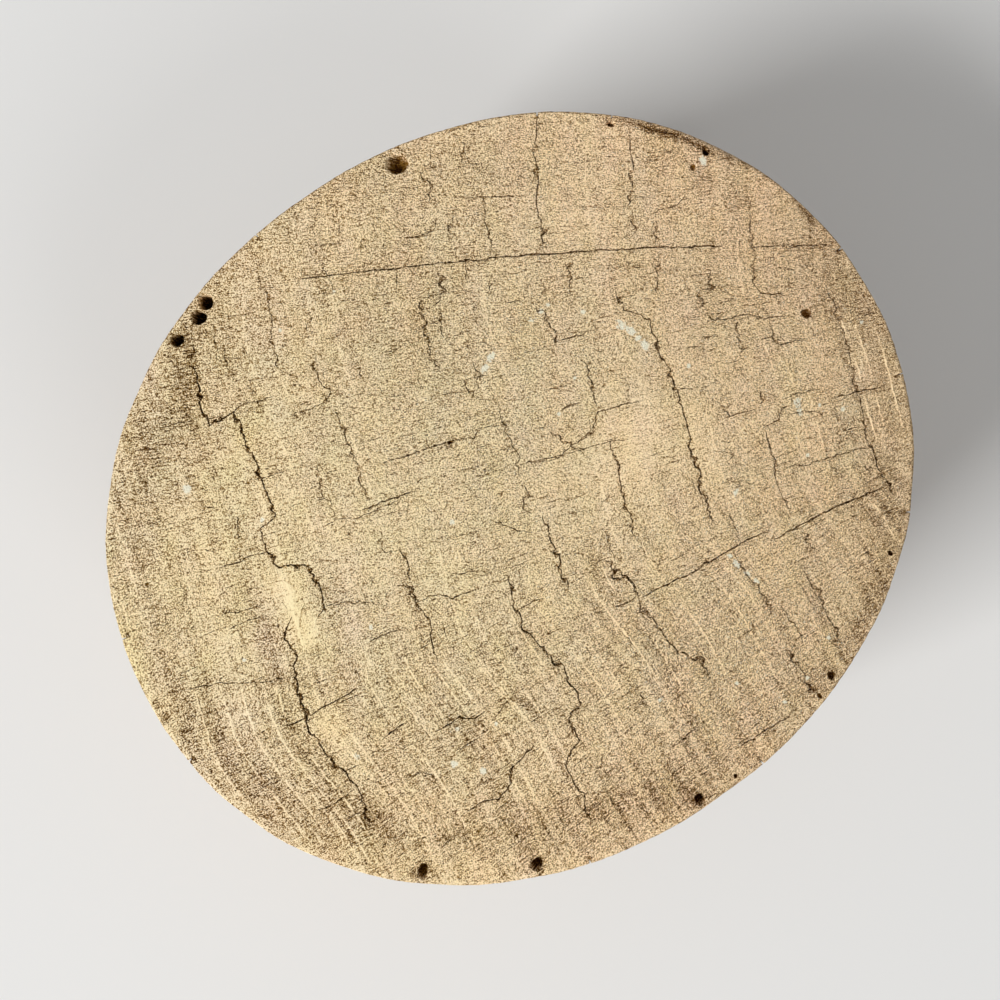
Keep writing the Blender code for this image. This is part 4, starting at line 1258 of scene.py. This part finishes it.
def streaks_group():
    """Fine streaks in the wood: noise on the grain's own coordinates, long one way and short another,
    given as a signed amount about nothing."""
    inputs = [
        ("Grain", "Vector", None),
        ("Ring Size", "Float", 0.001),
        ("Ray Size", "Float", 0.001),
        ("Rise Size", "Float", 0.03),
        ("Detail", "Float", 2.0),
        ("Shift", "Float", 0.0),
    ]
    group, given, result = new_group("wood_streaks", inputs, [("Amount", "Float")])
    parts = add_node(group, "SeparateXYZ", {"Vector": given.outputs["Grain"]}).outputs
    scaled = [
        calc(group, "DIVIDE", part, given.outputs[size])
        for part, size in zip(parts, ("Ring Size", "Ray Size", "Rise Size"))
    ]
    moved = calc(group, "ADD", scaled[0], given.outputs["Shift"])
    place = add_node(group, "CombineXYZ", {"X": moved, "Y": scaled[1], "Z": scaled[2]}).outputs[0]
    inputs = {"Vector": place, "Scale": 1.0, "Detail": given.outputs["Detail"], "Roughness": 0.6}
    noise = add_node(group, "TexNoise", inputs, noise_dimensions="3D")
    group.links.new(calc(group, "SUBTRACT", noise.outputs[0], 0.5), result.inputs["Amount"])
    return group


streaks = streaks_group()


def streak(tree, grain, ring, ray, rise, detail=2.0, shift=0.0):
    """The amount of one set of streaks, with its lengths along the rings' radius, the ray and the rise
    in millimetres."""
    inputs = {
        "Grain": grain,
        "Ring Size": ring / 1000,
        "Ray Size": ray / 1000,
        "Rise Size": rise / 1000,
        "Detail": detail,
        "Shift": shift,
    }
    return use_group(tree, streaks, inputs).outputs["Amount"]


def specks(tree, amount, start, full):
    """Where an amount passes a threshold, rising smoothly from nothing at the start to one when full."""
    inputs = {"Value": amount, "From Min": start, "From Max": full}
    return add_node(tree, "MapRange", inputs, interpolation_type="SMOOTHSTEP").outputs["Result"]


NET_BEND = (1.6, 1.6, 1.6)
NET_THROW = (0.00034, 0.00034, 0.0)
NET_RISE = 0.05


def check_net_group():
    """A net of hair checks too fine for the mesh: the edges between cells that lie along the rays,
    roughened by noise and broken into short lengths, from nothing to one in the middle of a check."""
    inputs = [("Grain", "Vector", None), ("Ring Size", "Float", 0.005), ("Ray Size", "Float", 0.0032)]
    group, given, result = new_group("hair_check_net", inputs, [("Amount", "Float")])
    grain = given.outputs["Grain"]
    rough = add_node(group, "TexNoise", {"Vector": grain, "Scale": 1400.0, "Detail": 1.0}).outputs["Color"]
    bent = add_node(group, "TexNoise", {"Vector": grain, "Scale": 260.0, "Detail": 1.0}).outputs["Color"]
    thrown = vector_math(group, "ADD", rough, vector_math(group, "MULTIPLY", bent, NET_BEND))
    moved = vector_math(group, "ADD", grain, vector_math(group, "MULTIPLY", thrown, NET_THROW))
    parts = add_node(group, "SeparateXYZ", {"Vector": moved}).outputs
    inputs = {
        "X": calc(group, "DIVIDE", parts[0], given.outputs["Ring Size"]),
        "Y": calc(group, "DIVIDE", parts[1], given.outputs["Ray Size"]),
        "Z": calc(group, "DIVIDE", parts[2], NET_RISE),
    }
    place = add_node(group, "CombineXYZ", inputs).outputs[0]
    inputs = {"Vector": place, "Scale": 1.0, "Randomness": 0.72}
    cells = add_node(group, "TexVoronoi", inputs, feature="DISTANCE_TO_EDGE")
    line = specks(group, cells.outputs["Distance"], 0.048, 0.018)
    broken = add_node(group, "TexNoise", {"Vector": place, "Scale": 1.9, "Detail": 2.0}).outputs[0]
    shown = calc(group, "MULTIPLY", line, specks(group, broken, 0.46, 0.54))
    group.links.new(shown, result.inputs["Amount"])
    return group


def sum_of(tree, terms):
    """The sum of outputs, each times its factor."""
    total = 0.0
    for output, factor in terms:
        total = calc(tree, "MULTIPLY_ADD", output, factor, total)
    return total


def add_bump(tree, shader, height, distance):
    """Bumps the shader's surface by a height, whose one stands for the distance in metres."""
    bump = add_node(tree, "Bump", {"Strength": 1.0, "Distance": distance, "Height": height})
    tree.links.new(bump.outputs[0], shader.inputs["Normal"])


def noise_about_nothing(tree, place, scale, detail):
    """Soft noise at a place, given as a signed amount about nothing."""
    noise = add_node(tree, "TexNoise", {"Vector": place, "Scale": scale, "Detail": detail})
    return calc(tree, "SUBTRACT", noise.outputs[0], 0.5)


# The wood's colour by its brightness, from the floor of a crack to bleached fibre: the mean of its red,
# green and blue in a picture's 255 levels, with the colour that goes with it.
WOOD_TONES = (
    (30, (0.048, 0.016, 0.002)),
    (50, (0.096, 0.041, 0.005)),
    (70, (0.160, 0.073, 0.006)),
    (90, (0.232, 0.120, 0.014)),
    (110, (0.310, 0.181, 0.041)),
    (130, (0.388, 0.247, 0.096)),
    (150, (0.474, 0.328, 0.170)),
    (170, (0.583, 0.426, 0.243)),
    (190, (0.716, 0.534, 0.313)),
    (210, (0.862, 0.654, 0.394)),
    (230, (0.972, 0.768, 0.480)),
    (248, (1.000, 0.840, 0.560)),
)
WOOD_LEVEL = 181.4
RUDDY_TINT = 0.03
GOLDEN_TINT = -0.036
FILLER = (0.90, 0.84, 0.66, 1)
PORES_PER_METRE = (900, 1900, 120)
GRAIN_HEIGHT = 0.001
TIP_SPECULAR = 0.15


def wood_colour(tree, level, ruddy, golden):
    """The wood's colour at a brightness level, with more red the ruddier and less blue the more golden."""
    ramp = add_node(tree, "ValToRGB", {"Fac": calc(tree, "DIVIDE", level, 255.0)})
    stops = ramp.color_ramp.elements
    stops.remove(stops[1])
    stops[0].position = WOOD_TONES[0][0] / 255
    stops[0].color = (*WOOD_TONES[0][1], 1)
    for position, colour in WOOD_TONES[1:]:
        stops.new(position / 255).color = (*colour, 1)
    red = calc(tree, "MULTIPLY_ADD", ruddy, RUDDY_TINT, 1.0)
    blue = calc(tree, "MULTIPLY_ADD", golden, GOLDEN_TINT, 1.0)
    tint = add_node(tree, "CombineXYZ", {"X": red, "Y": 1.0, "Z": blue}).outputs[0]
    return vector_math(tree, "MULTIPLY", ramp.outputs[0], tint)


def tip_material():
    """Raw, dry end grain on the tip and the underside, browned by hands at the rim but painted pale on its
    lit lower left: a painted highlight. Its brightness is a level less what grime, cracks, pores and
    streaks take from it and plus what patches add to it; the darkening of cracks and nail holes with their
    depth is painted shade, and the broad patches hold painted light and shade."""
    material, tree, shader = new_material("dry_end_grain_wood")
    grain = attribute(tree, "grain", "Vector")
    patch = attribute(tree, "patch")
    banded = attribute(tree, "banded")
    soil = attribute(tree, "soil")
    handled_and_rim_highlight = attribute(tree, "handled_and_rim_highlight")
    proud = attribute(tree, "proud")
    hollow = attribute(tree, "hollow")
    roughened = attribute(tree, "roughened")
    crack = attribute(tree, "crack")

    broad = streak(tree, grain, 5.0, 9.0, 90, 2.0)
    rings = calc(tree, "MULTIPLY", streak(tree, grain, 1.5, 60.0, 200, 1.0, 7.0), banded)
    ring_lines = calc(tree, "MULTIPLY", streak(tree, grain, 0.32, 9.0, 60, 1.0, 3.0), banded)
    ray_lines = streak(tree, grain, 5.0, 0.28, 40, 1.0, 11.0)
    paler = calc(tree, "MAXIMUM", patch, 0.0)
    bare = sum_of(tree, [(proud, -0.85), (specks(tree, paler, 10.0, 32.0), -0.5), (hollow, -0.8)])
    bare = calc(tree, "ADD", bare, 1.0, clamp=True)
    bare = calc(tree, "MULTIPLY", bare, roughened)
    grit = calc(tree, "MULTIPLY", streak(tree, grain, 0.52, 0.46, 6, 3.0, 5.0), bare)
    fibre = calc(tree, "MULTIPLY", streak(tree, grain, 0.80, 0.20, 6, 1.0, 19.0), bare)
    fine = calc(tree, "MULTIPLY", streak(tree, grain, 0.22, 0.20, 3, 0.0, 9.0), bare)
    dirty = sum_of(tree, [(patch, -0.0034), (soil, 0.025), (rings, -0.20), (proud, -0.22)])
    stained = calc(tree, "ADD", streak(tree, grain, 0.50, 0.34, 14, 3.0, 17.0), dirty)
    stained = specks(tree, stained, 0.09, 0.13)
    ray_dashes = calc(tree, "ADD", streak(tree, grain, 2.4, 0.21, 14, 1.0, 23.0), dirty)
    ray_dashes = specks(tree, ray_dashes, 0.15, 0.18)
    ring_dashes = specks(tree, streak(tree, grain, 0.22, 1.8, 14, 1.0, 29.0), 0.19, 0.22)
    cells = vector_math(tree, "MULTIPLY", grain, PORES_PER_METRE)
    pores = add_node(tree, "TexVoronoi", {"Vector": cells, "Scale": 1.0, "Randomness": 1.0})
    size = add_node(tree, "SeparateXYZ", {"Vector": pores.outputs["Color"]}).outputs[0]
    pore = calc(tree, "SUBTRACT", calc(tree, "MULTIPLY", size, 0.36), pores.outputs["Distance"])
    pore = calc(tree, "MULTIPLY", pore, 12.0, clamp=True)
    net = use_group(tree, check_net_group(), {"Grain": grain}).outputs["Amount"]

    level = sum_of(
        tree,
        [
            (net, -66.0),
            (broad, 46.0),
            (rings, 85.0),
            (ring_lines, 130.0),
            (ray_lines, 120.0),
            (grit, 72.0),
            (fibre, 190.0),
            (fine, 680.0),
            (stained, -66.0),
            (ray_dashes, -100.0),
            (ring_dashes, -84.0),
            (pore, -116.0),
            (patch, 0.42),
            (paler, 0.6),
            (roughened, 40.0),
            (soil, -4.0),
            (proud, 82.0),
            # Cracks and nail holes darker with their depth: painted shade, with some darker wood.
            (calc(tree, "MULTIPLY", crack, 3.0, clamp=True), -126.0),
            (crack, -22.0),
            (hollow, -124.0),
            (handled_and_rim_highlight, -48.0),
        # Brown patina where the block is held, and on the lit lower left rim a painted highlight.
        ],
    )
    level = calc(tree, "ADD", level, WOOD_LEVEL)
    wood = wood_colour(tree, level, attribute(tree, "ruddy"), attribute(tree, "golden"))
    ragged = calc(tree, "MULTIPLY_ADD", grit, 2.2, attribute(tree, "fleck"))
    inputs = {"Factor": specks(tree, ragged, 0.25, 0.65), "A": wood, "B": FILLER}
    finish = add_node(tree, "Mix", inputs, data_type="RGBA")
    tree.links.new(finish.outputs["Result"], shader.inputs["Base Color"])

    polish = calc(tree, "MULTIPLY_ADD", broad, 0.6, 0.30)
    rough = calc(tree, "SUBTRACT", 0.88, calc(tree, "MULTIPLY", handled_and_rim_highlight, polish))
    tree.links.new(rough, shader.inputs["Roughness"])
    shader.inputs["Specular IOR Level"].default_value = TIP_SPECULAR
    height = sum_of(
        tree,
        [
            (ray_lines, 0.05),
            (ring_lines, 0.05),
            (grit, 0.18),
            (fibre, 0.15),
            (fine, 0.13),
            (stained, -0.030),
            (ray_dashes, -0.045),
            (ring_dashes, -0.035),
            (pore, -0.060),
            (net, -0.05),
        ],
    )
    add_bump(tree, shader, height, GRAIN_HEIGHT)
    return material


SIDE_LEVEL = 120.0
SIDE_RUDDY = 1.8
SIDE_GOLDEN = -2.5
SIDE_SPECULAR = 0.35
RASP_MARKS = (45, 45, 1400)
SMUDGE_MARKS = (150, 150, 36)
SCRATCH_MARKS = (900, 900, 22)
SCRATCH_TURN = (0.0, 0.5, 0.3)


def side_material():
    """The wall: the grain stands upright in it, browned and rubbed smooth by hands and cloth, darker at the
    base and in the cord groove, with faint marks of the rasp that shaped it."""
    material, tree, shader = new_material("handled_side_wood")
    grain = attribute(tree, "grain", "Vector")
    crack = attribute(tree, "crack")
    place = add_node(tree, "TexCoord", {}).outputs["Object"]
    rise = add_node(tree, "SeparateXYZ", {"Vector": place}).outputs["Z"]

    rings = streak(tree, grain, 1.3, 60.0, 320, 2.0, 7.0)
    late_wood = specks(tree, streak(tree, grain, 1.9, 80.0, 400, 1.0, 3.0), 0.06, 0.16)
    fibres = streak(tree, grain, 0.42, 0.42, 26, 3.0, 5.0)
    pores = specks(tree, streak(tree, grain, 0.36, 0.36, 7, 1.0, 31.0), 0.15, 0.21)
    stains = noise_about_nothing(tree, place, 26.0, 4.0)
    rasp = noise_about_nothing(tree, vector_math(tree, "MULTIPLY", place, RASP_MARKS), 1.0, 2.0)
    smudges = noise_about_nothing(tree, vector_math(tree, "MULTIPLY", place, SMUDGE_MARKS), 1.0, 5.0)
    low = specks(tree, calc(tree, "MULTIPLY_ADD", stains, 0.02, rise), 0.016, 0.0)
    from_groove = calc(tree, "ABSOLUTE", calc(tree, "SUBTRACT", rise, CORD_GROOVE_RISE))
    groove = specks(tree, from_groove, CORD_GROOVE_RADIUS * 1.3, CORD_GROOVE_RADIUS * 0.4)
    cells = add_node(tree, "TexVoronoi", {"Vector": place, "Scale": 150.0, "Randomness": 1.0})
    pinned = calc(tree, "MULTIPLY_ADD", stains, 0.06, rise)
    pinned = specks(tree, pinned, 0.036, 0.022)
    pricks = calc(tree, "MULTIPLY", specks(tree, cells.outputs["Distance"], 0.11, 0.075), pinned)
    slanted = {"Vector": place, "Rotation": SCRATCH_TURN, "Scale": SCRATCH_MARKS}
    slanted = add_node(tree, "Mapping", slanted).outputs[0]
    scratches = add_node(tree, "TexNoise", {"Vector": slanted, "Scale": 1.0, "Detail": 0.0})
    scratches = specks(tree, scratches.outputs[0], 0.70, 0.74)

    level = sum_of(
        tree,
        [
            (rings, 70.0),
            (late_wood, -17.0),
            (fibres, 76.0),
            (pores, -36.0),
            (stains, 70.0),
            (smudges, 42.0),
            (pricks, -80.0),
            (scratches, 20.0),
            (rasp, 9.0),
            (low, -20.0),
            (groove, -26.0),
            # Wall checks darker with their cut: painted shade inside them.
            (calc(tree, "MULTIPLY", crack, 2.0, clamp=True), -64.0),
        ],
    )
    wood = wood_colour(tree, calc(tree, "ADD", level, SIDE_LEVEL), SIDE_RUDDY, SIDE_GOLDEN)
    tree.links.new(wood, shader.inputs["Base Color"])
    rough = sum_of(tree, [(stains, -0.5), (fibres, 0.25), (groove, 0.18), (crack, 0.3)])
    tree.links.new(calc(tree, "ADD", rough, 0.60), shader.inputs["Roughness"])
    shader.inputs["Specular IOR Level"].default_value = SIDE_SPECULAR
    height = sum_of(
        tree,
        [
            (fibres, 0.05),
            (pores, -0.05),
            (rasp, 0.03),
            (late_wood, 0.015),
            (pricks, -0.12),
            (scratches, -0.015),
        ],
    )
    add_bump(tree, shader, height, GRAIN_HEIGHT)
    return material


block_mesh.materials.append(tip_material())
block_mesh.materials.append(side_material())
wall_quads = (down.ravel() >= RIM_ROWS - 1) & (down.ravel() < side_count - 1)
slots = np.zeros(len(block_mesh.polygons), int)
slots[: len(wall_quads)] = wall_quads
block_mesh.polygons.foreach_set("material_index", slots)


# The spindle bush: a turned brass tube with a collar, pressed up into the block's underside, that takes the
# steel spindle of a stand. It is dull and browned, with dirt in the turning marks.
METAL_MARK_HEIGHT = 0.00003


def worn_metal_group():
    """Age on turned metal: soft patches of rust or tarnish where broad noise passes what the cover leaves,
    dirt in fine specks, and fine ring marks round the piece's axis."""
    inputs = [
        ("Place", "Vector", None),
        ("Cover", "Float", 0.5),
        ("Patch Size", "Float", 0.01),
        ("Mark Spacing", "Float", 0.0006),
    ]
    outputs = [("Patches", "Float"), ("Dirt", "Float"), ("Height", "Float")]
    group, given, result = new_group("worn_metal", inputs, outputs)
    place = given.outputs["Place"]
    rate = calc(group, "DIVIDE", 1.0, given.outputs["Patch Size"])
    inputs = {"Vector": place, "Scale": rate, "Detail": 6.0, "Roughness": 0.65}
    broad = add_node(group, "TexNoise", inputs)
    cover = calc(group, "SUBTRACT", calc(group, "ADD", broad.outputs[0], given.outputs["Cover"]), 1.0)
    patches = specks(group, cover, -0.05, 0.06)
    fine = add_node(group, "TexNoise", {"Vector": place, "Scale": 1500.0, "Detail": 3.0}).outputs[0]
    flat_place = vector_math(group, "MULTIPLY", place, (1, 1, 0))
    radius = add_node(group, "VectorMath", {0: flat_place}, operation="LENGTH").outputs["Value"]
    turns = calc(group, "DIVIDE", radius, given.outputs["Mark Spacing"])
    marks = calc(group, "SINE", calc(group, "MULTIPLY", turns, 2 * math.pi))
    dirt = specks(group, calc(group, "MULTIPLY_ADD", marks, 0.03, fine), 0.50, 0.66)
    height = sum_of(group, [(marks, 0.25), (fine, 0.9), (patches, 0.8)])
    for name, value in (("Patches", patches), ("Dirt", dirt), ("Height", height)):
        group.links.new(value, result.inputs[name])
    return group


worn_metal = worn_metal_group()


def metal_material(name, centre, metal, dirty, aged, roughness, cover, patch_size, aged_metallic):
    """Old metal round a centre: its colour, the colour dirt gives it and the colour of its rust or tarnish,
    with the share that this covers and how metallic it is."""
    material, tree, shader = new_material(name)
    place = add_node(tree, "TexCoord", {}).outputs["Object"]
    centred = vector_math(tree, "SUBTRACT", place, centre)
    inputs = {"Place": centred, "Cover": cover, "Patch Size": patch_size}
    wear = use_group(tree, worn_metal, inputs).outputs
    colour = {"Factor": calc(tree, "MULTIPLY", wear["Dirt"], 0.7), "A": (*metal, 1), "B": (*dirty, 1)}
    colour = add_node(tree, "Mix", colour, data_type="RGBA").outputs["Result"]
    colour = {"Factor": wear["Patches"], "A": colour, "B": (*aged, 1)}
    colour = add_node(tree, "Mix", colour, data_type="RGBA").outputs["Result"]
    tree.links.new(colour, shader.inputs["Base Color"])
    shine = calc(tree, "MULTIPLY_ADD", wear["Patches"], aged_metallic - 1, 1.0)
    tree.links.new(shine, shader.inputs["Metallic"])
    rough = calc(tree, "MULTIPLY_ADD", wear["Patches"], 0.34, roughness)
    rough = calc(tree, "MULTIPLY_ADD", wear["Dirt"], 0.12, rough)
    tree.links.new(rough, shader.inputs["Roughness"])
    add_bump(tree, shader, wear["Height"], METAL_MARK_HEIGHT)
    return material


def finish_node(node, material):
    """Gives a CAD node's object its material in every slot."""
    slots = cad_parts[node].material_slots
    if not slots:
        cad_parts[node].data.materials.append(material)
    for slot in slots:
        slot.material = material


brass = metal_material(
    "dull_brass",
    centre=(0, 0, 0),
    metal=(0.56, 0.39, 0.17),
    dirty=(0.25, 0.16, 0.07),
    aged=(0.19, 0.12, 0.055),
    roughness=0.34,
    cover=0.44,
    patch_size=0.008,
    aged_metallic=0.75,
)
finish_node("spindle_bush", brass)

# The socket plate: a round iron plate let in flush in the underside, under the bush's collar, which keeps
# the bush in. It has gone dark, and rust has started in patches.
iron = metal_material(
    "rusted_iron",
    centre=(0, 0, 0),
    metal=(0.17, 0.155, 0.14),
    dirty=(0.075, 0.062, 0.052),
    aged=(0.115, 0.052, 0.026),
    roughness=0.46,
    cover=0.50,
    patch_size=0.011,
    aged_metallic=0.0,
)
finish_node("socket_plate", iron)

# The plate's screws: four countersunk slotted wood screws of dull steel, driven up into the block, whose
# heads lie flush in the plate. The turning marks of each run round its own axis.
for node in sorted(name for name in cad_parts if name.startswith("plate_screw")):
    low, high = (np.array(corner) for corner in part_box(node))
    centre = ((low[0] + high[0]) / 2, (low[1] + high[1]) / 2, low[2])
    steel = metal_material(
        "dull_steel",
        centre=centre,
        metal=(0.35, 0.34, 0.32),
        dirty=(0.12, 0.105, 0.09),
        aged=(0.17, 0.08, 0.04),
        roughness=0.38,
        cover=0.42,
        patch_size=0.003,
        aged_metallic=0.1,
    )
    finish_node(node, steel)


# Floor, lamps and camera: a plain pale floor, one broad soft lamp from the picture's lower left as in the
# photograph, a weaker one from its lower right, and an even pale surround. The camera looks straight down.
FLOOR_REACH = 14.0
FLOOR_DROP = 0.0002
PALE = (0.78, 0.78, 0.77, 1)
# How far from the block the floor starts and ends to go over into the backdrop, in metres.
BACKDROP_FROM = 0.35
BACKDROP_FULL = 1.6
floor_mesh = bpy.data.meshes.new("floor")
ends = (-1, -1), (1, -1), (1, 1), (-1, 1)
corners = [(x * FLOOR_REACH, y * FLOOR_REACH, -FLOOR_DROP) for x, y in ends]
floor_mesh.from_pydata(corners, [], [(0, 1, 2, 3)])
floor = add_object("floor", floor_mesh)


def seen_directly(tree):
    """One for rays that come from the camera, straight, in a reflection or through glass, else nothing."""
    path = add_node(tree, "LightPath", {}).outputs
    seen = calc(tree, "MAXIMUM", path["Is Camera Ray"], path["Is Glossy Ray"])
    return calc(tree, "MAXIMUM", seen, path["Is Transmission Ray"])


def floor_paint():
    """A pale matt floor that keeps the block's shadow, and away from the block goes over into a plain pale
    backdrop for whatever looks at it straight or in a reflection."""
    material, tree, shader = new_material("pale_floor")
    shader.inputs["Base Color"].default_value = PALE
    shader.inputs["Roughness"].default_value = 0.9
    place = add_node(tree, "TexCoord", {}).outputs["Object"]
    away = add_node(tree, "VectorMath", {0: place}, operation="LENGTH").outputs["Value"]
    far = specks(tree, away, BACKDROP_FROM, BACKDROP_FULL)
    seen = seen_directly(tree)
    glow = add_node(tree, "Emission", {"Color": PALE, "Strength": 1.0}).outputs[0]
    share = calc(tree, "MULTIPLY", far, seen)
    blend = add_node(tree, "MixShader", {0: share, 1: shader.outputs[0], 2: glow}).outputs[0]
    tree.links.new(blend, tree.nodes["Material Output"].inputs["Surface"])
    return material


floor_mesh.materials.append(floor_paint())
floor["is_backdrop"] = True


def soft_lamp(name, right, up, rise, away, size, power):
    """A square lamp in a direction of the picture, at an elevation and a distance, facing the tip."""
    heading = from_picture(right, up)
    heading /= np.hypot(*heading)
    level = math.cos(math.radians(rise)) * away
    height = BLOCK_HEIGHT + math.sin(math.radians(rise)) * away
    spot = Vector((heading[0] * level, heading[1] * level, height))
    light = bpy.data.lights.new(name, "AREA")
    light.size = size
    light.energy = power
    lamp = add_object(name, light)
    lamp.location = spot
    lamp.rotation_euler = (spot - Vector((0, 0, BLOCK_HEIGHT))).to_track_quat("Z", "Y").to_euler()


soft_lamp("window_lamp", right=-0.85, up=-0.55, rise=42, away=4.4, size=1.5, power=164.0)
soft_lamp("far_lamp", right=0.6, up=-0.8, rise=48, away=4.8, size=1.8, power=36.0)
SURROUND_LIGHT = 0.31
SURROUND_SEEN = 0.78
world = bpy.data.worlds.new("pale_surround")
world.use_nodes = True
sky = world.node_tree
brighter = SURROUND_SEEN - SURROUND_LIGHT
strength = calc(sky, "MULTIPLY_ADD", seen_directly(sky), brighter, SURROUND_LIGHT)
sky.links.new(strength, sky.nodes["Background"].inputs["Strength"])
sky.nodes["Background"].inputs["Color"].default_value = (1, 1, 1, 1)
bpy.context.scene.world = world
bpy.context.scene.view_settings.view_transform = "Standard"

CAMERA_RISE = 0.36
SENSOR_WIDTH = 36
PHOTO_WIDTH = 1000
PHOTO_MIDDLE = (500, 500)
camera_data = bpy.data.cameras.new("camera")
camera_data.sensor_width = SENSOR_WIDTH
camera_data.lens = SENSOR_WIDTH * CAMERA_RISE / (PHOTO_WIDTH * PIXEL)
camera_data.clip_start = 0.01
camera = add_object("camera", camera_data)
aim = on_tip(PHOTO_MIDDLE)
camera.location = (aim[0], aim[1], BLOCK_HEIGHT + CAMERA_RISE)
camera.rotation_euler = (0, 0, -PHOTO_TURN)
bpy.context.scene.camera = camera

with_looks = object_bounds()
sizes = {
    "cad": [list(map(float, corner)) for corner in cad_box],
    "visual": [list(map(float, corner)) for corner in with_looks],
}
